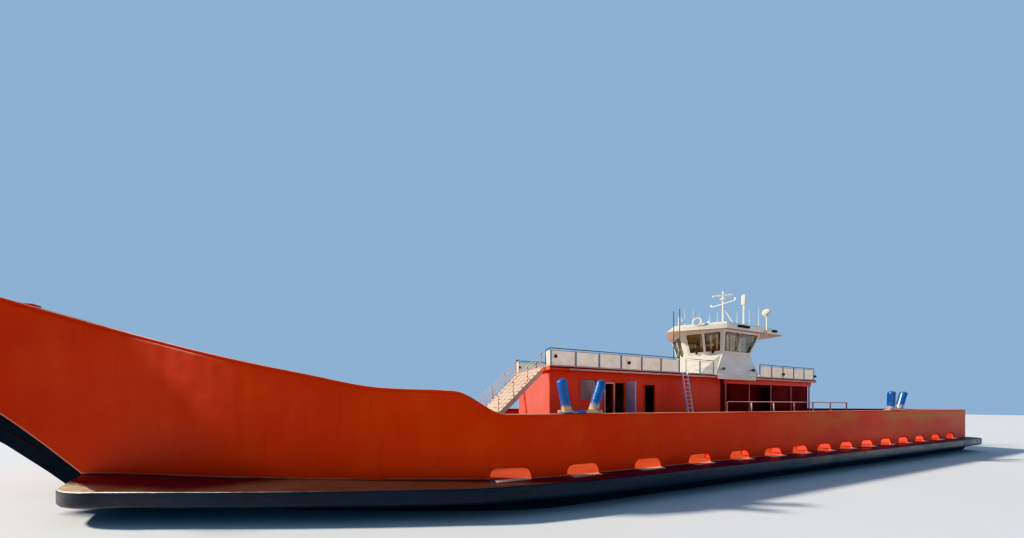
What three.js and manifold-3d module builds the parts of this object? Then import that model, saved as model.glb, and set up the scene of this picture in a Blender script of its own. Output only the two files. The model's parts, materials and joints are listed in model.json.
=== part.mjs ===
// A double-lane vehicle ferry of the landing-craft type, as a 1:2 scale model.
//
// Every size below is in metres of the real ferry: x runs forward from the transom, y to port, z up from the flat
// bottom. METRE turns such a size into the model's millimetres, so the model has half the real length.

import * as THREE from 'three';
import { mergeVertices } from 'three/addons/utils/BufferGeometryUtils.js';
import Module from 'manifold-3d';

const wasm = await Module();
wasm.setup();

const METRE = 1000 / 2;
const GAP = 0.3 / METRE; // between pieces that rest on each other

// Heights of the main decks above the flat bottom.
const DECK = 2.4;
const TRUNK_TOP = DECK + 1.45;
const UPPER = DECK + 4.34;
const BRIDGE_FLOOR = DECK + 5.6;
const ROOF_UNDER = DECK + 7.78;
const ROOF_TOP = DECK + 8.28;

// Plan and sheer of the shell.
const PLATING = 0.12; // thickness of the bulwark with its stiffening
const STERN_GUARD = 0.35; // how far the guard stands out behind the transom
const GUARD_DEPTH = 0.45;
const HINGE = { x: 49.5, z: DECK + 2.07 }; // the bow ramp's pin
const STEM = { x: 46.2, slope: 0.7, tip: 49.3 }; // where the shell's lower edge leaves the deck and how it climbs
const BOW_TIP = 51.55;
const BOW_FOOT = 49.8; // the lower front corner of the bulwarks, just ahead of the ramp's pin
const FOREDECK_START = 38;

// x, half breadth of the shell plating
const shellRows = [
  [0, 9.0], [32.3, 9.0], [36.85, 7.62], [41.3, 5.63], [46.2, 3.14], [48.8, 2.52], [BOW_TIP + 0.1, 2.45],
];

// x, half breadth of the guard's outer face
const guardRows = [
  [0, 9.73], [30, 9.73], [34.5, 9.4], [36.9, 8.72], [40.2, 7.6], [43.9, 6.2],
];

// x, height of the bulwark's top edge above the deck
const sheerRows = [
  [0, 1.88], [33.95, 1.88], [35.4, 2.56], [37.3, 2.65], [39.6, 3.1], [41.9, 3.63], [45.6, 4.66], [48.8, 5.62],
  [BOW_TIP, 6.45],
];

// x, height of the hull's bottom
const bottomRows = [[0, 1.45], [6, 1.45], [9, 0], [39.5, 0], [41.3, 0.12], [43.7, 0.6], [46.2, 1.65], [STEM.tip, 4.2]];

// x, radius of the bilge
const bilgeRows = [[0, 0.3], [6, 0.3], [9, 0.6], [35, 0.6], [43.7, 0.35], [46.2, 0.15], [STEM.tip, 0.1]];

const materials = {
  orange: { color: 0xb8401c, roughness: 0.55, metalness: 0.1 },
  black: { color: 0x15171c, roughness: 0.6, metalness: 0.1 },
  deckGreen: { color: 0x4c5a52, roughness: 0.8, metalness: 0.1 },
  white: { color: 0xe8e6e0, roughness: 0.5, metalness: 0.0 },
  darkRed: { color: 0x6e1d10, roughness: 0.6, metalness: 0.1 },
  rail: { color: 0xb9c2cc, roughness: 0.4, metalness: 0.4 },
  blue: { color: 0x1f5fae, roughness: 0.4, metalness: 0.1 },
  glass: { color: 0x1c262c, roughness: 0.1, metalness: 0.0 },
  bronze: { color: 0x9a7238, roughness: 0.35, metalness: 0.9 },
  steel: { color: 0x777b80, roughness: 0.5, metalness: 0.8 },
};

// The smooth curve through a table's rows, as a function of x. It keeps flat stretches flat and never overshoots.
function curveThrough(rows) {
  const secant = (i) => (rows[i + 1][1] - rows[i][1]) / (rows[i + 1][0] - rows[i][0]);
  const last = rows.length - 1;
  const slopes = rows.map((_, i) => {
    if (i === 0) return secant(0);
    if (i === last) return secant(last - 1);
    const before = secant(i - 1);
    const after = secant(i);
    return before * after > 0 ? (2 * before * after) / (before + after) : 0;
  });
  return (x) => {
    const i = Math.max(0, Math.min(last - 1, rows.findIndex((row) => row[0] > x) - 1));
    const at = x >= rows[last][0] ? last - 1 : i;
    const width = rows[at + 1][0] - rows[at][0];
    const t = Math.max(0, Math.min(1, (x - rows[at][0]) / width));
    const rise = t * t * (3 - 2 * t);
    return rows[at][1] * (1 - rise) + rows[at + 1][1] * rise
      + width * (slopes[at] * t * (1 - t) ** 2 - slopes[at + 1] * t * t * (1 - t));
  };
}

const spread = (from, to, count) => Array.from({ length: count }, (_, i) => from + ((to - from) * i) / (count - 1));

// Straight lines through a table's rows, as a function of x.
function linesThrough(rows) {
  return (x) => {
    const i = Math.max(1, rows.findIndex((row) => row[0] >= x));
    const [[x0, y0], [x1, y1]] = [rows[i - 1], rows[i]];
    return y0 + ((y1 - y0) * (x - x0)) / (x1 - x0);
  };
}

// Every piece along the shell bends at the same stations, so that neighbours lie face to face.
const STATIONS = [
  0, 6, 9, 28, 31, 32.3, 33.4, 34.5, 35.6, 36.8, FOREDECK_START, 39.5, 41.3, 42.5, 43.7, 45, STEM.x, 47.2, 48.2,
  STEM.tip, 50.4, BOW_TIP + 0.1,
];
const shellCurve = curveThrough(shellRows);
const shellAt = linesThrough(STATIONS.map((x) => [x, shellCurve(x)]));
const stationsBetween = (from, to) => [from, ...STATIONS.filter((x) => x > from + 0.01 && x < to - 0.01), to];

const guardAt = curveThrough(guardRows);
const sheerAt = curveThrough(sheerRows);

// The lower edge of the orange shell, which climbs along the stem.
const shellFootAt = (x) => DECK + Math.max(0, x - STEM.x) * STEM.slope;

// The top of the sloping foredeck, which meets the stem's edge at the ramp.
const foredeckAt = (x) => DECK + Math.max(0, x - FOREDECK_START)
  * (shellFootAt(STEM.tip) - DECK) / (STEM.tip - FOREDECK_START);

// Solids

const fromArrays = (vertProperties, triVerts) => new wasm.Manifold(
  new wasm.Mesh({ numProp: 3, vertProperties, triVerts }));

// Triangles in the opposite order, so that they face the other way.
const turned = (triVerts) => triVerts.map((_, i, all) => all[i - (i % 3) + [0, 2, 1][i % 3]]);

// A closed geometry as a solid that can be joined and cut, with its faces pointing out.
function solid(geometry) {
  const bare = new THREE.BufferGeometry();
  bare.setAttribute('position', geometry.getAttribute('position').clone());
  if (geometry.index) bare.setIndex(geometry.index.clone());
  const merged = mergeVertices(bare, 1e-5);
  const points = new Float32Array(merged.attributes.position.array);
  const triangles = new Uint32Array(merged.index.array);
  const made = fromArrays(points, triangles);
  return made.volume() < 0 ? fromArrays(points, turned(triangles)) : made;
}

const join = (solids) => solids.reduce((whole, next) => whole.add(next));
const cut = (whole, tools) => tools.reduce((rest, tool) => rest.subtract(tool), whole);

// The box between two limits on each axis.
function box([x0, x1], [y0, y1], [z0, z1]) {
  const geometry = new THREE.BoxGeometry(x1 - x0, y1 - y0, z1 - z0);
  geometry.translate((x0 + x1) / 2, (y0 + y1) / 2, (z0 + z1) / 2);
  return solid(geometry);
}

// An outline carried along an axis: points are (x, y) along z, (x, z) along y and (y, z) along x.
const alongAxis = {
  z: new THREE.Matrix4(),
  y: new THREE.Matrix4().makeBasis(
    new THREE.Vector3(1, 0, 0), new THREE.Vector3(0, 0, 1), new THREE.Vector3(0, -1, 0)),
  x: new THREE.Matrix4().makeBasis(
    new THREE.Vector3(0, 1, 0), new THREE.Vector3(0, 0, 1), new THREE.Vector3(1, 0, 0)),
};

function prism(points, axis, from, to) {
  const shape = new THREE.Shape(points.map(([u, v]) => new THREE.Vector2(u, v)));
  const geometry = new THREE.ExtrudeGeometry(shape, { depth: to - from, bevelEnabled: false });
  geometry.translate(0, 0, axis === 'y' ? -to : from);
  geometry.applyMatrix4(alongAxis[axis]);
  return solid(geometry);
}

// A round bar between two points.
function rod(from, to, radius, sides = 6, endRadius = radius) {
  const start = new THREE.Vector3(...from);
  const along = new THREE.Vector3(...to).sub(start);
  const geometry = new THREE.CylinderGeometry(endRadius, radius, along.length(), sides);
  geometry.translate(0, along.length() / 2, 0);
  geometry.applyQuaternion(
    new THREE.Quaternion().setFromUnitVectors(new THREE.Vector3(0, 1, 0), along.normalize()));
  geometry.translate(...from);
  return solid(geometry);
}

// The skin over a row of rings with the same number of points, closed at both ends by fans.
function loft(rings) {
  const size = rings[0].length;
  const index = [];
  for (let r = 0; r + 1 < rings.length; r += 1) {
    for (let i = 0; i < size; i += 1) {
      const a = r * size + i;
      const b = r * size + ((i + 1) % size);
      index.push(a, b, b + size, a, b + size, a + size);
    }
  }
  const end = (rings.length - 1) * size;
  for (let i = 1; i + 1 < size; i += 1) {
    index.push(0, i + 1, i, end, end + i, end + i + 1);
  }
  const geometry = new THREE.BufferGeometry();
  geometry.setAttribute('position', new THREE.Float32BufferAttribute(rings.flat(2), 3));
  geometry.setIndex(index);
  return solid(geometry);
}

// The same solid on the other side of the centreline.
function mirrored(shape) {
  const mesh = shape.getMesh();
  return fromArrays(mesh.vertProperties.map((value, i) => (i % 3 === 1 ? -value : value)), turned(mesh.triVerts));
}

// The same solid turned about z and moved.
function placed(shape, [x, y, z], turn) {
  const mesh = shape.getMesh();
  const place = new THREE.Matrix4().makeRotationZ(turn).setPosition(x, y, z);
  const points = new THREE.BufferAttribute(mesh.vertProperties.slice(), 3).applyMatrix4(place);
  return fromArrays(points.array, mesh.triVerts);
}

const ferry = new THREE.Group();
ferry.position.x = (-METRE * (BOW_TIP - STERN_GUARD)) / 2;

// Adds a named piece. A piece that turns is built around its axis and placed there with at.
function piece(name, material, shape, at = [0, 0, 0], turn = 0) {
  const mesh = shape.getMesh();
  const geometry = new THREE.BufferGeometry();
  geometry.setAttribute('position', new THREE.BufferAttribute(mesh.vertProperties, 3));
  geometry.setIndex(new THREE.BufferAttribute(mesh.triVerts, 1));
  geometry.scale(METRE, METRE, METRE);
  geometry.computeVertexNormals();
  const part = new THREE.Mesh(geometry, new THREE.MeshStandardMaterial(materials[material]));
  part.name = name;
  part.position.set(...at.map((value) => value * METRE));
  part.rotation.z = turn;
  ferry.add(part);
}

// Adds a port piece and its mirror image.
function pair(name, material, shape) {
  piece(`${name}_port`, material, shape);
  piece(`${name}_starboard`, material, mirrored(shape));
}

// Hull

const SHAFT = { y: 4.6, z: 0.66, radius: 0.06, aft: 4.3, front: 7.5, bossing: 0.17 };
const RUDDER = { x: 2.6, low: 0.14, stock: 0.06, depth: 0.3 };
const COUNTER = 1.45; // height of the stern's flat underside
const RAMP_LUGS = [-1.6, 0, 1.6];
const PIN = 0.06;

function hull() {
  const bilgeSteps = 4;
  const bottomAt = linesThrough(bottomRows);
  const bilgeAt = linesThrough(bilgeRows);
  const rings = stationsBetween(0, STEM.tip).map((x) => {
    const half = shellAt(x);
    const bottom = bottomAt(x);
    const radius = bilgeAt(x);
    const side = [[x, half, shellFootAt(x)]];
    for (let i = 0; i <= bilgeSteps; i += 1) {
      const angle = (Math.PI / 2) * (i / bilgeSteps);
      side.push([x, half - radius + radius * Math.cos(angle), bottom + radius - radius * Math.sin(angle)]);
    }
    const other = side.map(([px, py, pz]) => [px, -py, pz]).reverse();
    return [...side, ...other];
  });
  const inset = PLATING + GAP;
  const foredeck = loft(stationsBetween(FOREDECK_START, STEM.tip).map((x) => {
    const half = shellAt(x) - inset;
    const low = shellFootAt(x) - 0.2;
    const top = foredeckAt(x);
    return [[x, half, top], [x, half, low], [x, -half, low], [x, -half, top]];
  }));
  const lugs = RAMP_LUGS.map((y) => prism(
    [[STEM.tip - 0.2, HINGE.z - 0.16], [HINGE.x, HINGE.z - 0.1], [HINGE.x + 0.1, HINGE.z], [HINGE.x, HINGE.z + 0.1],
      [STEM.tip - 0.2, HINGE.z + 0.1]],
    'y', y - 0.12, y + 0.12));
  const pin = rod([HINGE.x, -2.1, HINGE.z], [HINGE.x, 2.1, HINGE.z], PIN, 16);
  const sides = [SHAFT.y, -SHAFT.y];
  const bossings = sides.map((y) => rod([7, y, SHAFT.z], [9, y, SHAFT.z], SHAFT.bossing, 16));
  const bores = sides.flatMap((y) => [
    rod([6, y, SHAFT.z], [SHAFT.front + 0.05, y, SHAFT.z], SHAFT.radius + 1.6 * GAP, 24),
    rod([RUDDER.x, y, 1], [RUDDER.x, y, COUNTER + RUDDER.depth + 0.05], RUDDER.stock + 1.6 * GAP, 24),
  ]);
  return cut(join([loft(rings), foredeck, ...lugs, pin, ...bossings]), bores);
}

piece('hull', 'black', hull());

// Guard: the heavy rub rail around the shell, a shelf at the bow with a sloping underside and a rounded nose.

function guard() {
  const noseX = 45.22;
  const xs = [...spread(0, 28, 3), ...spread(30, 43.9, 9)];
  const outer = [
    [-STERN_GUARD, 2], [-STERN_GUARD, 9.0], [-0.2, 9.45], [0.1, 9.68], [0.6, guardAt(0.6)],
    ...xs.slice(1).map((x) => [x, guardAt(x)]),
    [44.4, 5.98], [44.85, 5.72], [noseX, 5.3],
  ];
  const innerAt = (x) => shellAt(x) + GAP;
  const inner = stationsBetween(0, STEM.x).reverse().map((x) => [x, innerAt(x)]);
  const shelf = prism([...outer, ...inner, [-GAP, innerAt(0)], [-GAP, 2]], 'z', DECK - GUARD_DEPTH, DECK);
  const slope = 0.4;
  const under = loft(stationsBetween(31, noseX).map((x) => {
    const foot = innerAt(x) + GAP;
    const reach = Math.min(guardAt(x) - 0.3, x > 43.9 ? 5.2 : 99);
    const low = DECK - GUARD_DEPTH - slope * (reach - foot);
    const high = DECK - GUARD_DEPTH + 0.1;
    return [[x, foot, low], [x, foot, high], [x, reach, high], [x, reach, high - 0.1 - GAP]];
  }));
  return shelf.add(under);
}

pair('guard', 'black', guard());

// Bulwarks: the shell above the deck, cut to the sheer line, with freeing ports, inner stays and a cap.

const BOW_POST = 0.34;
const CAP = 0.26; // how far the cap reaches inward
const freeingPorts = [2.7, 5, 7.3, 9.5, 11.6, 13.7, 15.8, 17.8, 19.8, 21.8, 24, 26.3, 28.85, 31.5, 33.83];
const sternPorts = [-7.2, -4.8, -2.4, 0, 2.4, 4.8, 7.2];

// Outline of a freeing port about its centre: it stands on the deck and its head has rounded corners.
function portOutline(centre) {
  const half = [[0.58, -0.1], [0.58, 0.07], [0.52, 0.2], [0.44, 0.29], [0.36, 0.34]];
  return [...half, ...half.map(([u, z]) => [-u, z]).reverse()].map(([u, z]) => [centre + u, DECK + z]);
}

// A strip that follows the shell in plan.
function shellStrip(outward, inward, low, high, xs) {
  const outer = xs.map((x) => [x, shellAt(x) + outward]);
  const inner = [...xs].reverse().map((x) => [x, shellAt(x) - inward]);
  return prism([...outer, ...inner], 'z', low, high);
}

function bulwark() {
  const topXs = [0, ...spread(33.95, 35.4, 5), ...spread(36.3, 48.8, 10), BOW_TIP];
  const top = topXs.map((x) => [x, DECK + sheerAt(x)]);
  const cheek = [BOW_FOOT, HINGE.z - 0.15];
  const foot = [
    cheek, [STEM.tip + GAP, cheek[1]], [STEM.tip + GAP, shellFootAt(STEM.tip) + GAP], [STEM.x, DECK + GAP],
    [0, DECK + GAP]];
  const side = prism([...top, ...foot].reverse(), 'y', 0, 10);
  const planXs = stationsBetween(0, BOW_TIP + 0.05);
  const plating = shellStrip(0, PLATING, DECK, DECK + 7, planXs).intersect(side);
  const capBand = prism(
    [...top.map(([x, z]) => [x, z + 0.05]), ...[...top].reverse().map(([x, z]) => [x, z - 0.06])].reverse(),
    'y', 0, 10);
  const cap = shellStrip(0.05, CAP, DECK, DECK + 7, [CAP + GAP, ...planXs.slice(1)]).intersect(capBand);
  const postBand = prism(
    [cheek, [BOW_TIP, DECK + sheerAt(BOW_TIP)], [BOW_TIP - 0.45, DECK + sheerAt(BOW_TIP - 0.45) - 0.03],
      [STEM.tip - 0.1, foot[2][1]], foot[2], foot[1]],
    'y', 0, 10);
  const post = shellStrip(0, BOW_POST, DECK, DECK + 7, stationsBetween(48, BOW_TIP + 0.05)).intersect(postBand);
  const stays = freeingPorts.slice(1).map((x, i) => {
    const at = (x + freeingPorts[i]) / 2;
    const inside = shellAt(at) - PLATING + 0.02;
    return prism(
      [[inside, DECK + GAP], [inside, DECK + 1.84], [inside - 0.12, DECK + 1.8], [inside - 0.5, DECK + GAP]],
      'x', at - 0.03, at + 0.03);
  });
  const ports = freeingPorts.map((x) => prism(portOutline(x), 'y', 7.5, 10));
  return cut(join([plating, cap, post, ...stays]), ports);
}

pair('bulwark', 'orange', bulwark());

function sternBulwark() {
  const half = 9 - PLATING - GAP;
  const wall = box([0, PLATING], [-half, half], [DECK + GAP, DECK + 1.88]);
  const cap = box([-0.05, CAP], [-half, half], [DECK + 1.82, DECK + 1.93]);
  const stays = [-6, -3.6, -1.2, 1.2, 3.6, 6].map((y) => prism(
    [[0.1, DECK + GAP], [0.5, DECK + GAP], [0.24, DECK + 1.84], [0.1, DECK + 1.84]], 'y', y - 0.03, y + 0.03));
  const ports = sternPorts.map((y) => prism(portOutline(y), 'x', -0.1, 0.3));
  return cut(join([wall, cap, ...stays]), ports);
}

piece('bulwark_stern', 'orange', sternBulwark());

// Bow ramp: a framed plate that leans forward between the bow posts and drops about its pin.

const RAMP = { half: 2.02, length: 4.4, thick: 0.26, lean: Math.atan2(4.53, 1.8) };

function bowRamp() {
  const [up, ahead] = [Math.sin(RAMP.lean), Math.cos(RAMP.lean)];
  const place = (along, out) => [along * ahead + out * up, along * up - out * ahead];
  const slab = (a0, a1, o0, o1, y0, y1) => prism(
    [place(a0, o0), place(a0, o1), place(a1, o1), place(a1, o0)], 'y', y0, y1);
  const ribs = [-1.9, -0.95, 0, 0.95, 1.9].map((y) => slab(0.28, RAMP.length, -0.1, 0.16, y - 0.05, y + 0.05));
  const beams = [0.28, 1.6, 3, RAMP.length - 0.12].map((a) => slab(a, a + 0.12, 0, 0.14, -RAMP.half, RAMP.half));
  const knuckles = [-1.05, -0.55, 0.55, 1.05].map((y) => join([
    rod([0, y - 0.12, 0], [0, y + 0.12, 0], 0.12, 16), slab(0, 0.35, -0.1, 0.06, y - 0.12, y + 0.12)]));
  const plate = slab(0.22, RAMP.length, -0.13, -0.06, -RAMP.half, RAMP.half);
  const bore = rod([0, -3, 0], [0, 3, 0], PIN + 2.2 * GAP, 16);
  return cut(join([plate, ...ribs, ...beams, ...knuckles]), [bore]);
}

piece('bow_ramp', 'orange', bowRamp(), [HINGE.x, 0, HINGE.z]);

// Trunk: the raised casing between the vehicle lanes.

const TRUNK = { aft: 2.5, front: 33, half: 4.33 };

piece('trunk', 'darkRed', box([TRUNK.aft, TRUNK.front], [-TRUNK.half, TRUNK.half], [DECK + GAP, TRUNK_TOP]));

function trunkSteps() {
  const count = 6;
  const rise = (TRUNK_TOP - DECK) / count;
  const treads = spread(0, count - 2, count - 1).map((i) => box(
    [TRUNK.front + GAP, TRUNK.front + 0.28 * (count - 1 - i)], [-0.9, 0.9], [DECK + GAP, DECK + rise * (i + 1)]));
  return join(treads);
}

piece('trunk_steps', 'darkRed', trunkSteps());

// Deckhouse

const HOUSE = { aft: 15, front: 29, half: 2.2, wall: 0.1 };
const ROOF_BEAM = 0.22;
const HOUSE_TOP = UPPER - ROOF_BEAM - GAP;
const HOUSE_FOOT = TRUNK_TOP + GAP;

// first x, last x, sill, head of each opening in the side walls
const windowHole = [25.86, 27.0, DECK + 2.5, DECK + 3.72];
const passages = [[24.62, 25.22, TRUNK_TOP + 0.2, DECK + 3.49], [21.3, 22.15, TRUNK_TOP + 0.2, DECK + 3.49]];
const sideDoorway = [23.76, 24.46, TRUNK_TOP + 0.2, DECK + 3.55];
const aftDoorway = [-0.4, 0.4, TRUNK_TOP + 0.2, DECK + 3.55];

// Doors lie against a wall's outer face. Each turns on two barrels that stand on lugs of the wall.
const DOOR = { thick: 0.048, lap: 0.05, barrel: 0.018, edge: 0.036, off: 0.036 };
const BARRELS = [0.35, 1.5];
const LUG = 0.015;

// A leaf that reaches from its hinge axis towards +x, with its outer face towards +y.
function doorLeaf(width, height) {
  const half = DOOR.thick / 2;
  const leaf = box([DOOR.edge, width], [-half, half], [0, height]);
  const barrels = BARRELS.map((z) => join([
    rod([0, 0, z], [0, 0, z + 0.12], DOOR.barrel, 12), box([0, DOOR.edge + 0.01], [-0.01, 0.01], [z, z + 0.12])]));
  const dogs = [0.25, 0.5, 0.75].map((share) => box(
    [width - 0.12, width - 0.06], [half - 0.01, half + 0.04], [share * height, share * height + 0.05]));
  return join([leaf, ...barrels, ...dogs]);
}

// The wall's lugs under the barrels of a door whose hinge axis stands at x on a wall face at y.
function doorLugs(x, y, z) {
  return BARRELS.map((barrel) => box(
    [x - LUG, x + LUG], [y - 0.03, y + DOOR.off + LUG], [z + barrel - GAP - 0.05, z + barrel - GAP]));
}

const doorway = ([x0, x1, z0, z1]) => box([x0, x1], [HOUSE.half - 0.5, HOUSE.half + 0.5], [z0, z1]);
const doorHinge = { x: sideDoorway[0] - DOOR.lap - 0.02, y: HOUSE.half + DOOR.off, z: sideDoorway[2] - 0.08 };

function houseSide() {
  const wall = box([HOUSE.aft, HOUSE.front], [HOUSE.half - HOUSE.wall, HOUSE.half], [HOUSE_FOOT, HOUSE_TOP]);
  const openings = [windowHole, ...passages, sideDoorway].map(doorway);
  return join([cut(wall, openings), ...doorLugs(doorHinge.x, HOUSE.half, doorHinge.z)]);
}

pair('house_wall', 'orange', houseSide());

const innerHalf = HOUSE.half - HOUSE.wall - GAP;
piece('house_wall_front', 'orange', box(
  [HOUSE.front - HOUSE.wall, HOUSE.front], [-innerHalf, innerHalf], [HOUSE_FOOT, HOUSE_TOP]));

const aftHinge = { x: HOUSE.aft - DOOR.off, y: aftDoorway[0] - DOOR.lap - 0.02, z: aftDoorway[2] - 0.08 };

function houseAft() {
  const wall = box([HOUSE.aft, HOUSE.aft + HOUSE.wall], [-innerHalf, innerHalf], [HOUSE_FOOT, HOUSE_TOP]);
  const hole = box([14, 16], [aftDoorway[0], aftDoorway[1]], [aftDoorway[2], aftDoorway[3]]);
  const lugs = BARRELS.map((barrel) => box(
    [HOUSE.aft - DOOR.off - LUG, HOUSE.aft + 0.03], [aftHinge.y - LUG, aftHinge.y + LUG],
    [aftHinge.z + barrel - GAP - 0.05, aftHinge.z + barrel - GAP]));
  return join([cut(wall, [hole]), ...lugs]);
}

piece('house_wall_aft', 'orange', houseAft());

const leafWidth = sideDoorway[1] - sideDoorway[0] + 2 * DOOR.lap + 0.02;
const leafHeight = sideDoorway[3] - sideDoorway[2] + 0.16;
piece('door_port', 'white', doorLeaf(leafWidth, leafHeight), [doorHinge.x, doorHinge.y, doorHinge.z], Math.PI / 2);
piece('door_starboard', 'white', mirrored(doorLeaf(leafWidth, leafHeight)), [doorHinge.x, -doorHinge.y, doorHinge.z]);
piece('door_aft', 'white', doorLeaf(aftDoorway[1] - aftDoorway[0] + 2 * DOOR.lap + 0.02, leafHeight),
  [aftHinge.x, aftHinge.y, aftHinge.z], Math.PI / 2);

// Covered aft space: a narrower casing under the roof, and the two post frames that carry the roof's edges.

const CASING = { aft: 5.2, front: 12.6, half: 1.3 };
const AWNING = { aft: 3.95, y: 2.36, posts: [4.1, 6.75, 9.4, 12.05, 14.7], radius: 0.06 };

piece('aft_casing', 'darkRed', box(
  [CASING.aft, CASING.front], [-CASING.half, CASING.half], [HOUSE_FOOT, HOUSE_TOP]));

function awningFrame() {
  const beam = box([AWNING.aft, HOUSE.aft - 0.1], [AWNING.y - 0.06, AWNING.y + 0.06], [HOUSE_TOP - 0.14, HOUSE_TOP]);
  const posts = AWNING.posts.map((x) => rod([x, AWNING.y, HOUSE_FOOT], [x, AWNING.y, HOUSE_TOP - 0.07], AWNING.radius, 8));
  return join([beam, ...posts]);
}

pair('awning_frame', 'orange', awningFrame());

// Upper deck: a plate with an edge beam, resting on the house walls and the post frames.

const UPPER_DECK = { aft: 3.65, front: 29.2, half: 2.6, plate: 0.1 };

function upperDeck() {
  const { aft, front, half, plate } = UPPER_DECK;
  const whole = box([aft, front], [-half, half], [UPPER - ROOF_BEAM, UPPER]);
  const bays = [[aft + 0.2, HOUSE.aft - 0.3], [HOUSE.aft + 0.3, HOUSE.front - 0.3]].map((span) => box(
    span, [-1.9, 1.9], [UPPER - 1, UPPER - plate]));
  return cut(whole, bays);
}

piece('upper_deck', 'white', upperDeck());

// Rails: flat panels of posts and bars, each with a foot strip.

const RAIL = { height: 0.975, width: 0.05, foot: 0.04 }; // height of the top bar's middle

// A straight stretch of rail from one foot to another, level or on a slope, with posts about a bay apart.
function railPanel(from, to, bay, bars) {
  const run = Math.hypot(to[0] - from[0], to[1] - from[1]);
  const climb = (to[2] - from[2]) / run;
  const half = RAIL.width / 2;
  const plate = (t0, t1, low, high, thick) => prism(
    [[t0, t0 * climb + low], [t1, t1 * climb + low], [t1, t1 * climb + high], [t0, t0 * climb + high]],
    'y', -thick, thick);
  const posts = spread(0, run, Math.max(2, Math.round(run / bay) + 1));
  const lifts = [RAIL.foot - half, ...bars.map((share) => share * RAIL.height)];
  const holes = posts.slice(1).flatMap((post, i) => lifts.slice(1).map((lift, j) => plate(
    posts[i] + half, post - half, lifts[j] + half, lift - half, 1)));
  const panel = cut(plate(-half, run + half, GAP, RAIL.height + half, half), holes);
  return placed(panel, from, Math.atan2(to[1] - from[1], to[0] - from[0]));
}

function railing(corners, bay = 1.6, bars = [0.33, 0.66, 1]) {
  return join(corners.slice(1).map((to, i) => railPanel(corners[i], to, bay, bars)));
}

const edgeY = UPPER_DECK.half - 0.08;
const ladderGap = [18.9, 19.5];
const besideWheelhouse = [11.05, 16.2]; // here the wheelhouse's base takes the rail's place
const railEnds = { front: UPPER_DECK.front - 0.1, aft: UPPER_DECK.aft + 0.1 };

pair('upper_rail_forward', 'rail', railing(
  [[railEnds.front, 1.95, UPPER], [railEnds.front, edgeY, UPPER], [ladderGap[1], edgeY, UPPER]]));
pair('upper_rail_middle', 'rail', railing([[ladderGap[0], edgeY, UPPER], [besideWheelhouse[1], edgeY, UPPER]]));
pair('upper_rail_aft', 'rail', railing(
  [[besideWheelhouse[0], edgeY, UPPER], [railEnds.aft, edgeY, UPPER],
    [railEnds.aft, RAIL.width / 2 + GAP, UPPER]]));
pair('trunk_rail', 'rail', railing(
  [[17.4, TRUNK.half - 0.1, TRUNK_TOP], [3, TRUNK.half - 0.1, TRUNK_TOP]], 2.4, [0.5, 1]));

// Forward stair: wide, between the upper deck and the trunk's top.

const STAIR = { half: 1.8, top: UPPER_DECK.front + 0.02, run: 2.95, treads: 12 };

function forwardStair() {
  const rise = (UPPER - TRUNK_TOP) / (STAIR.treads + 1);
  const going = STAIR.run / (STAIR.treads + 1);
  const treads = spread(1, STAIR.treads, STAIR.treads).map((i) => box(
    [STAIR.top + going * (i - 0.5), STAIR.top + going * (i + 0.6)], [-STAIR.half, STAIR.half],
    [UPPER - rise * i - 0.05, UPPER - rise * i]));
  const foot = STAIR.top + STAIR.run;
  const stringers = [STAIR.half, 0, -STAIR.half].map((y) => prism(
    [[STAIR.top, UPPER], [STAIR.top, UPPER - 0.35], [foot - 0.35, TRUNK_TOP + GAP], [foot + 0.05, TRUNK_TOP + GAP]],
    'y', y - 0.03, y + 0.03));
  return join([...treads, ...stringers]);
}

piece('forward_stair', 'white', forwardStair());

function stairRail() {
  const slope = (UPPER - TRUNK_TOP) / STAIR.run;
  const y = STAIR.half + 0.03 + GAP + RAIL.width / 2;
  const foot = (x) => [x, y, UPPER - slope * (x - STAIR.top) - 0.05];
  return railing([foot(STAIR.top + 0.1), foot(STAIR.top + STAIR.run - 0.3)], 0.9);
}

pair('stair_rail', 'white', stairRail());

// Side ladders: steep, from the trunk's top up to the gap in the upper rail. They lean against the deck's edge.

const LADDER = { x0: 18.98, x1: 19.42, head: UPPER_DECK.half + GAP, foot: 3.06, depth: 0.13 };

function sideLadder() {
  const [low, high] = [HOUSE_FOOT, UPPER + 0.02];
  const steps = spread(0.1, 0.92, 10).map((share) => {
    const y = LADDER.foot + (LADDER.head - LADDER.foot) * share;
    const z = low + (high - low) * share;
    return box([LADDER.x0, LADDER.x1], [y + 0.01, y + LADDER.depth], [z, z + 0.035]);
  });
  const stringers = [LADDER.x0, LADDER.x1].map((x) => prism(
    [[LADDER.foot, low], [LADDER.foot + LADDER.depth, low], [LADDER.head + LADDER.depth, high], [LADDER.head, high]],
    'x', x - 0.02, x + 0.02));
  return join([...steps, ...stringers]);
}

pair('side_ladder', 'white', sideLadder());

// Wheelhouse: a base that narrows to a waist, windows that lean out and a wide roof. Its front is a blunt wedge.

const AFT_WALL = { x: 11.2, thick: 0.1 };
const SKIN = 0.1;
const PANE = 0.03;
const RIDGE = 0.12; // half breadth of the wedge's blunt edge
const SWEEP = 1.35; // half breadth that the front faces lose for each metre forward

const between = ([x0, y0], [x1, y1], share) => [x0 + (x1 - x0) * share, y0 + (y1 - y0) * share];

// The port half of a wedge-shaped outline, from its aft end to the ridge. The third point lies on the front face.
function wedge(aft, half, side) {
  const ridge = [side + (half - RIDGE) / SWEEP, RIDGE];
  return [[aft, half], [side, half], between([side, half], ridge, 0.05), ridge];
}

const wallAft = AFT_WALL.x + GAP;
const houseBase = { outline: [[wallAft, 2.5], [15.97, 2.5], [17.2, 2.1], [17.6, RIDGE]], z: UPPER + GAP };
const houseWaist = { outline: wedge(wallAft, 1.9, 14.3), z: DECK + 6.03 };
const houseHead = { outline: wedge(10.4, 2.25, 14.68), z: ROOF_UNDER - GAP };

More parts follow.
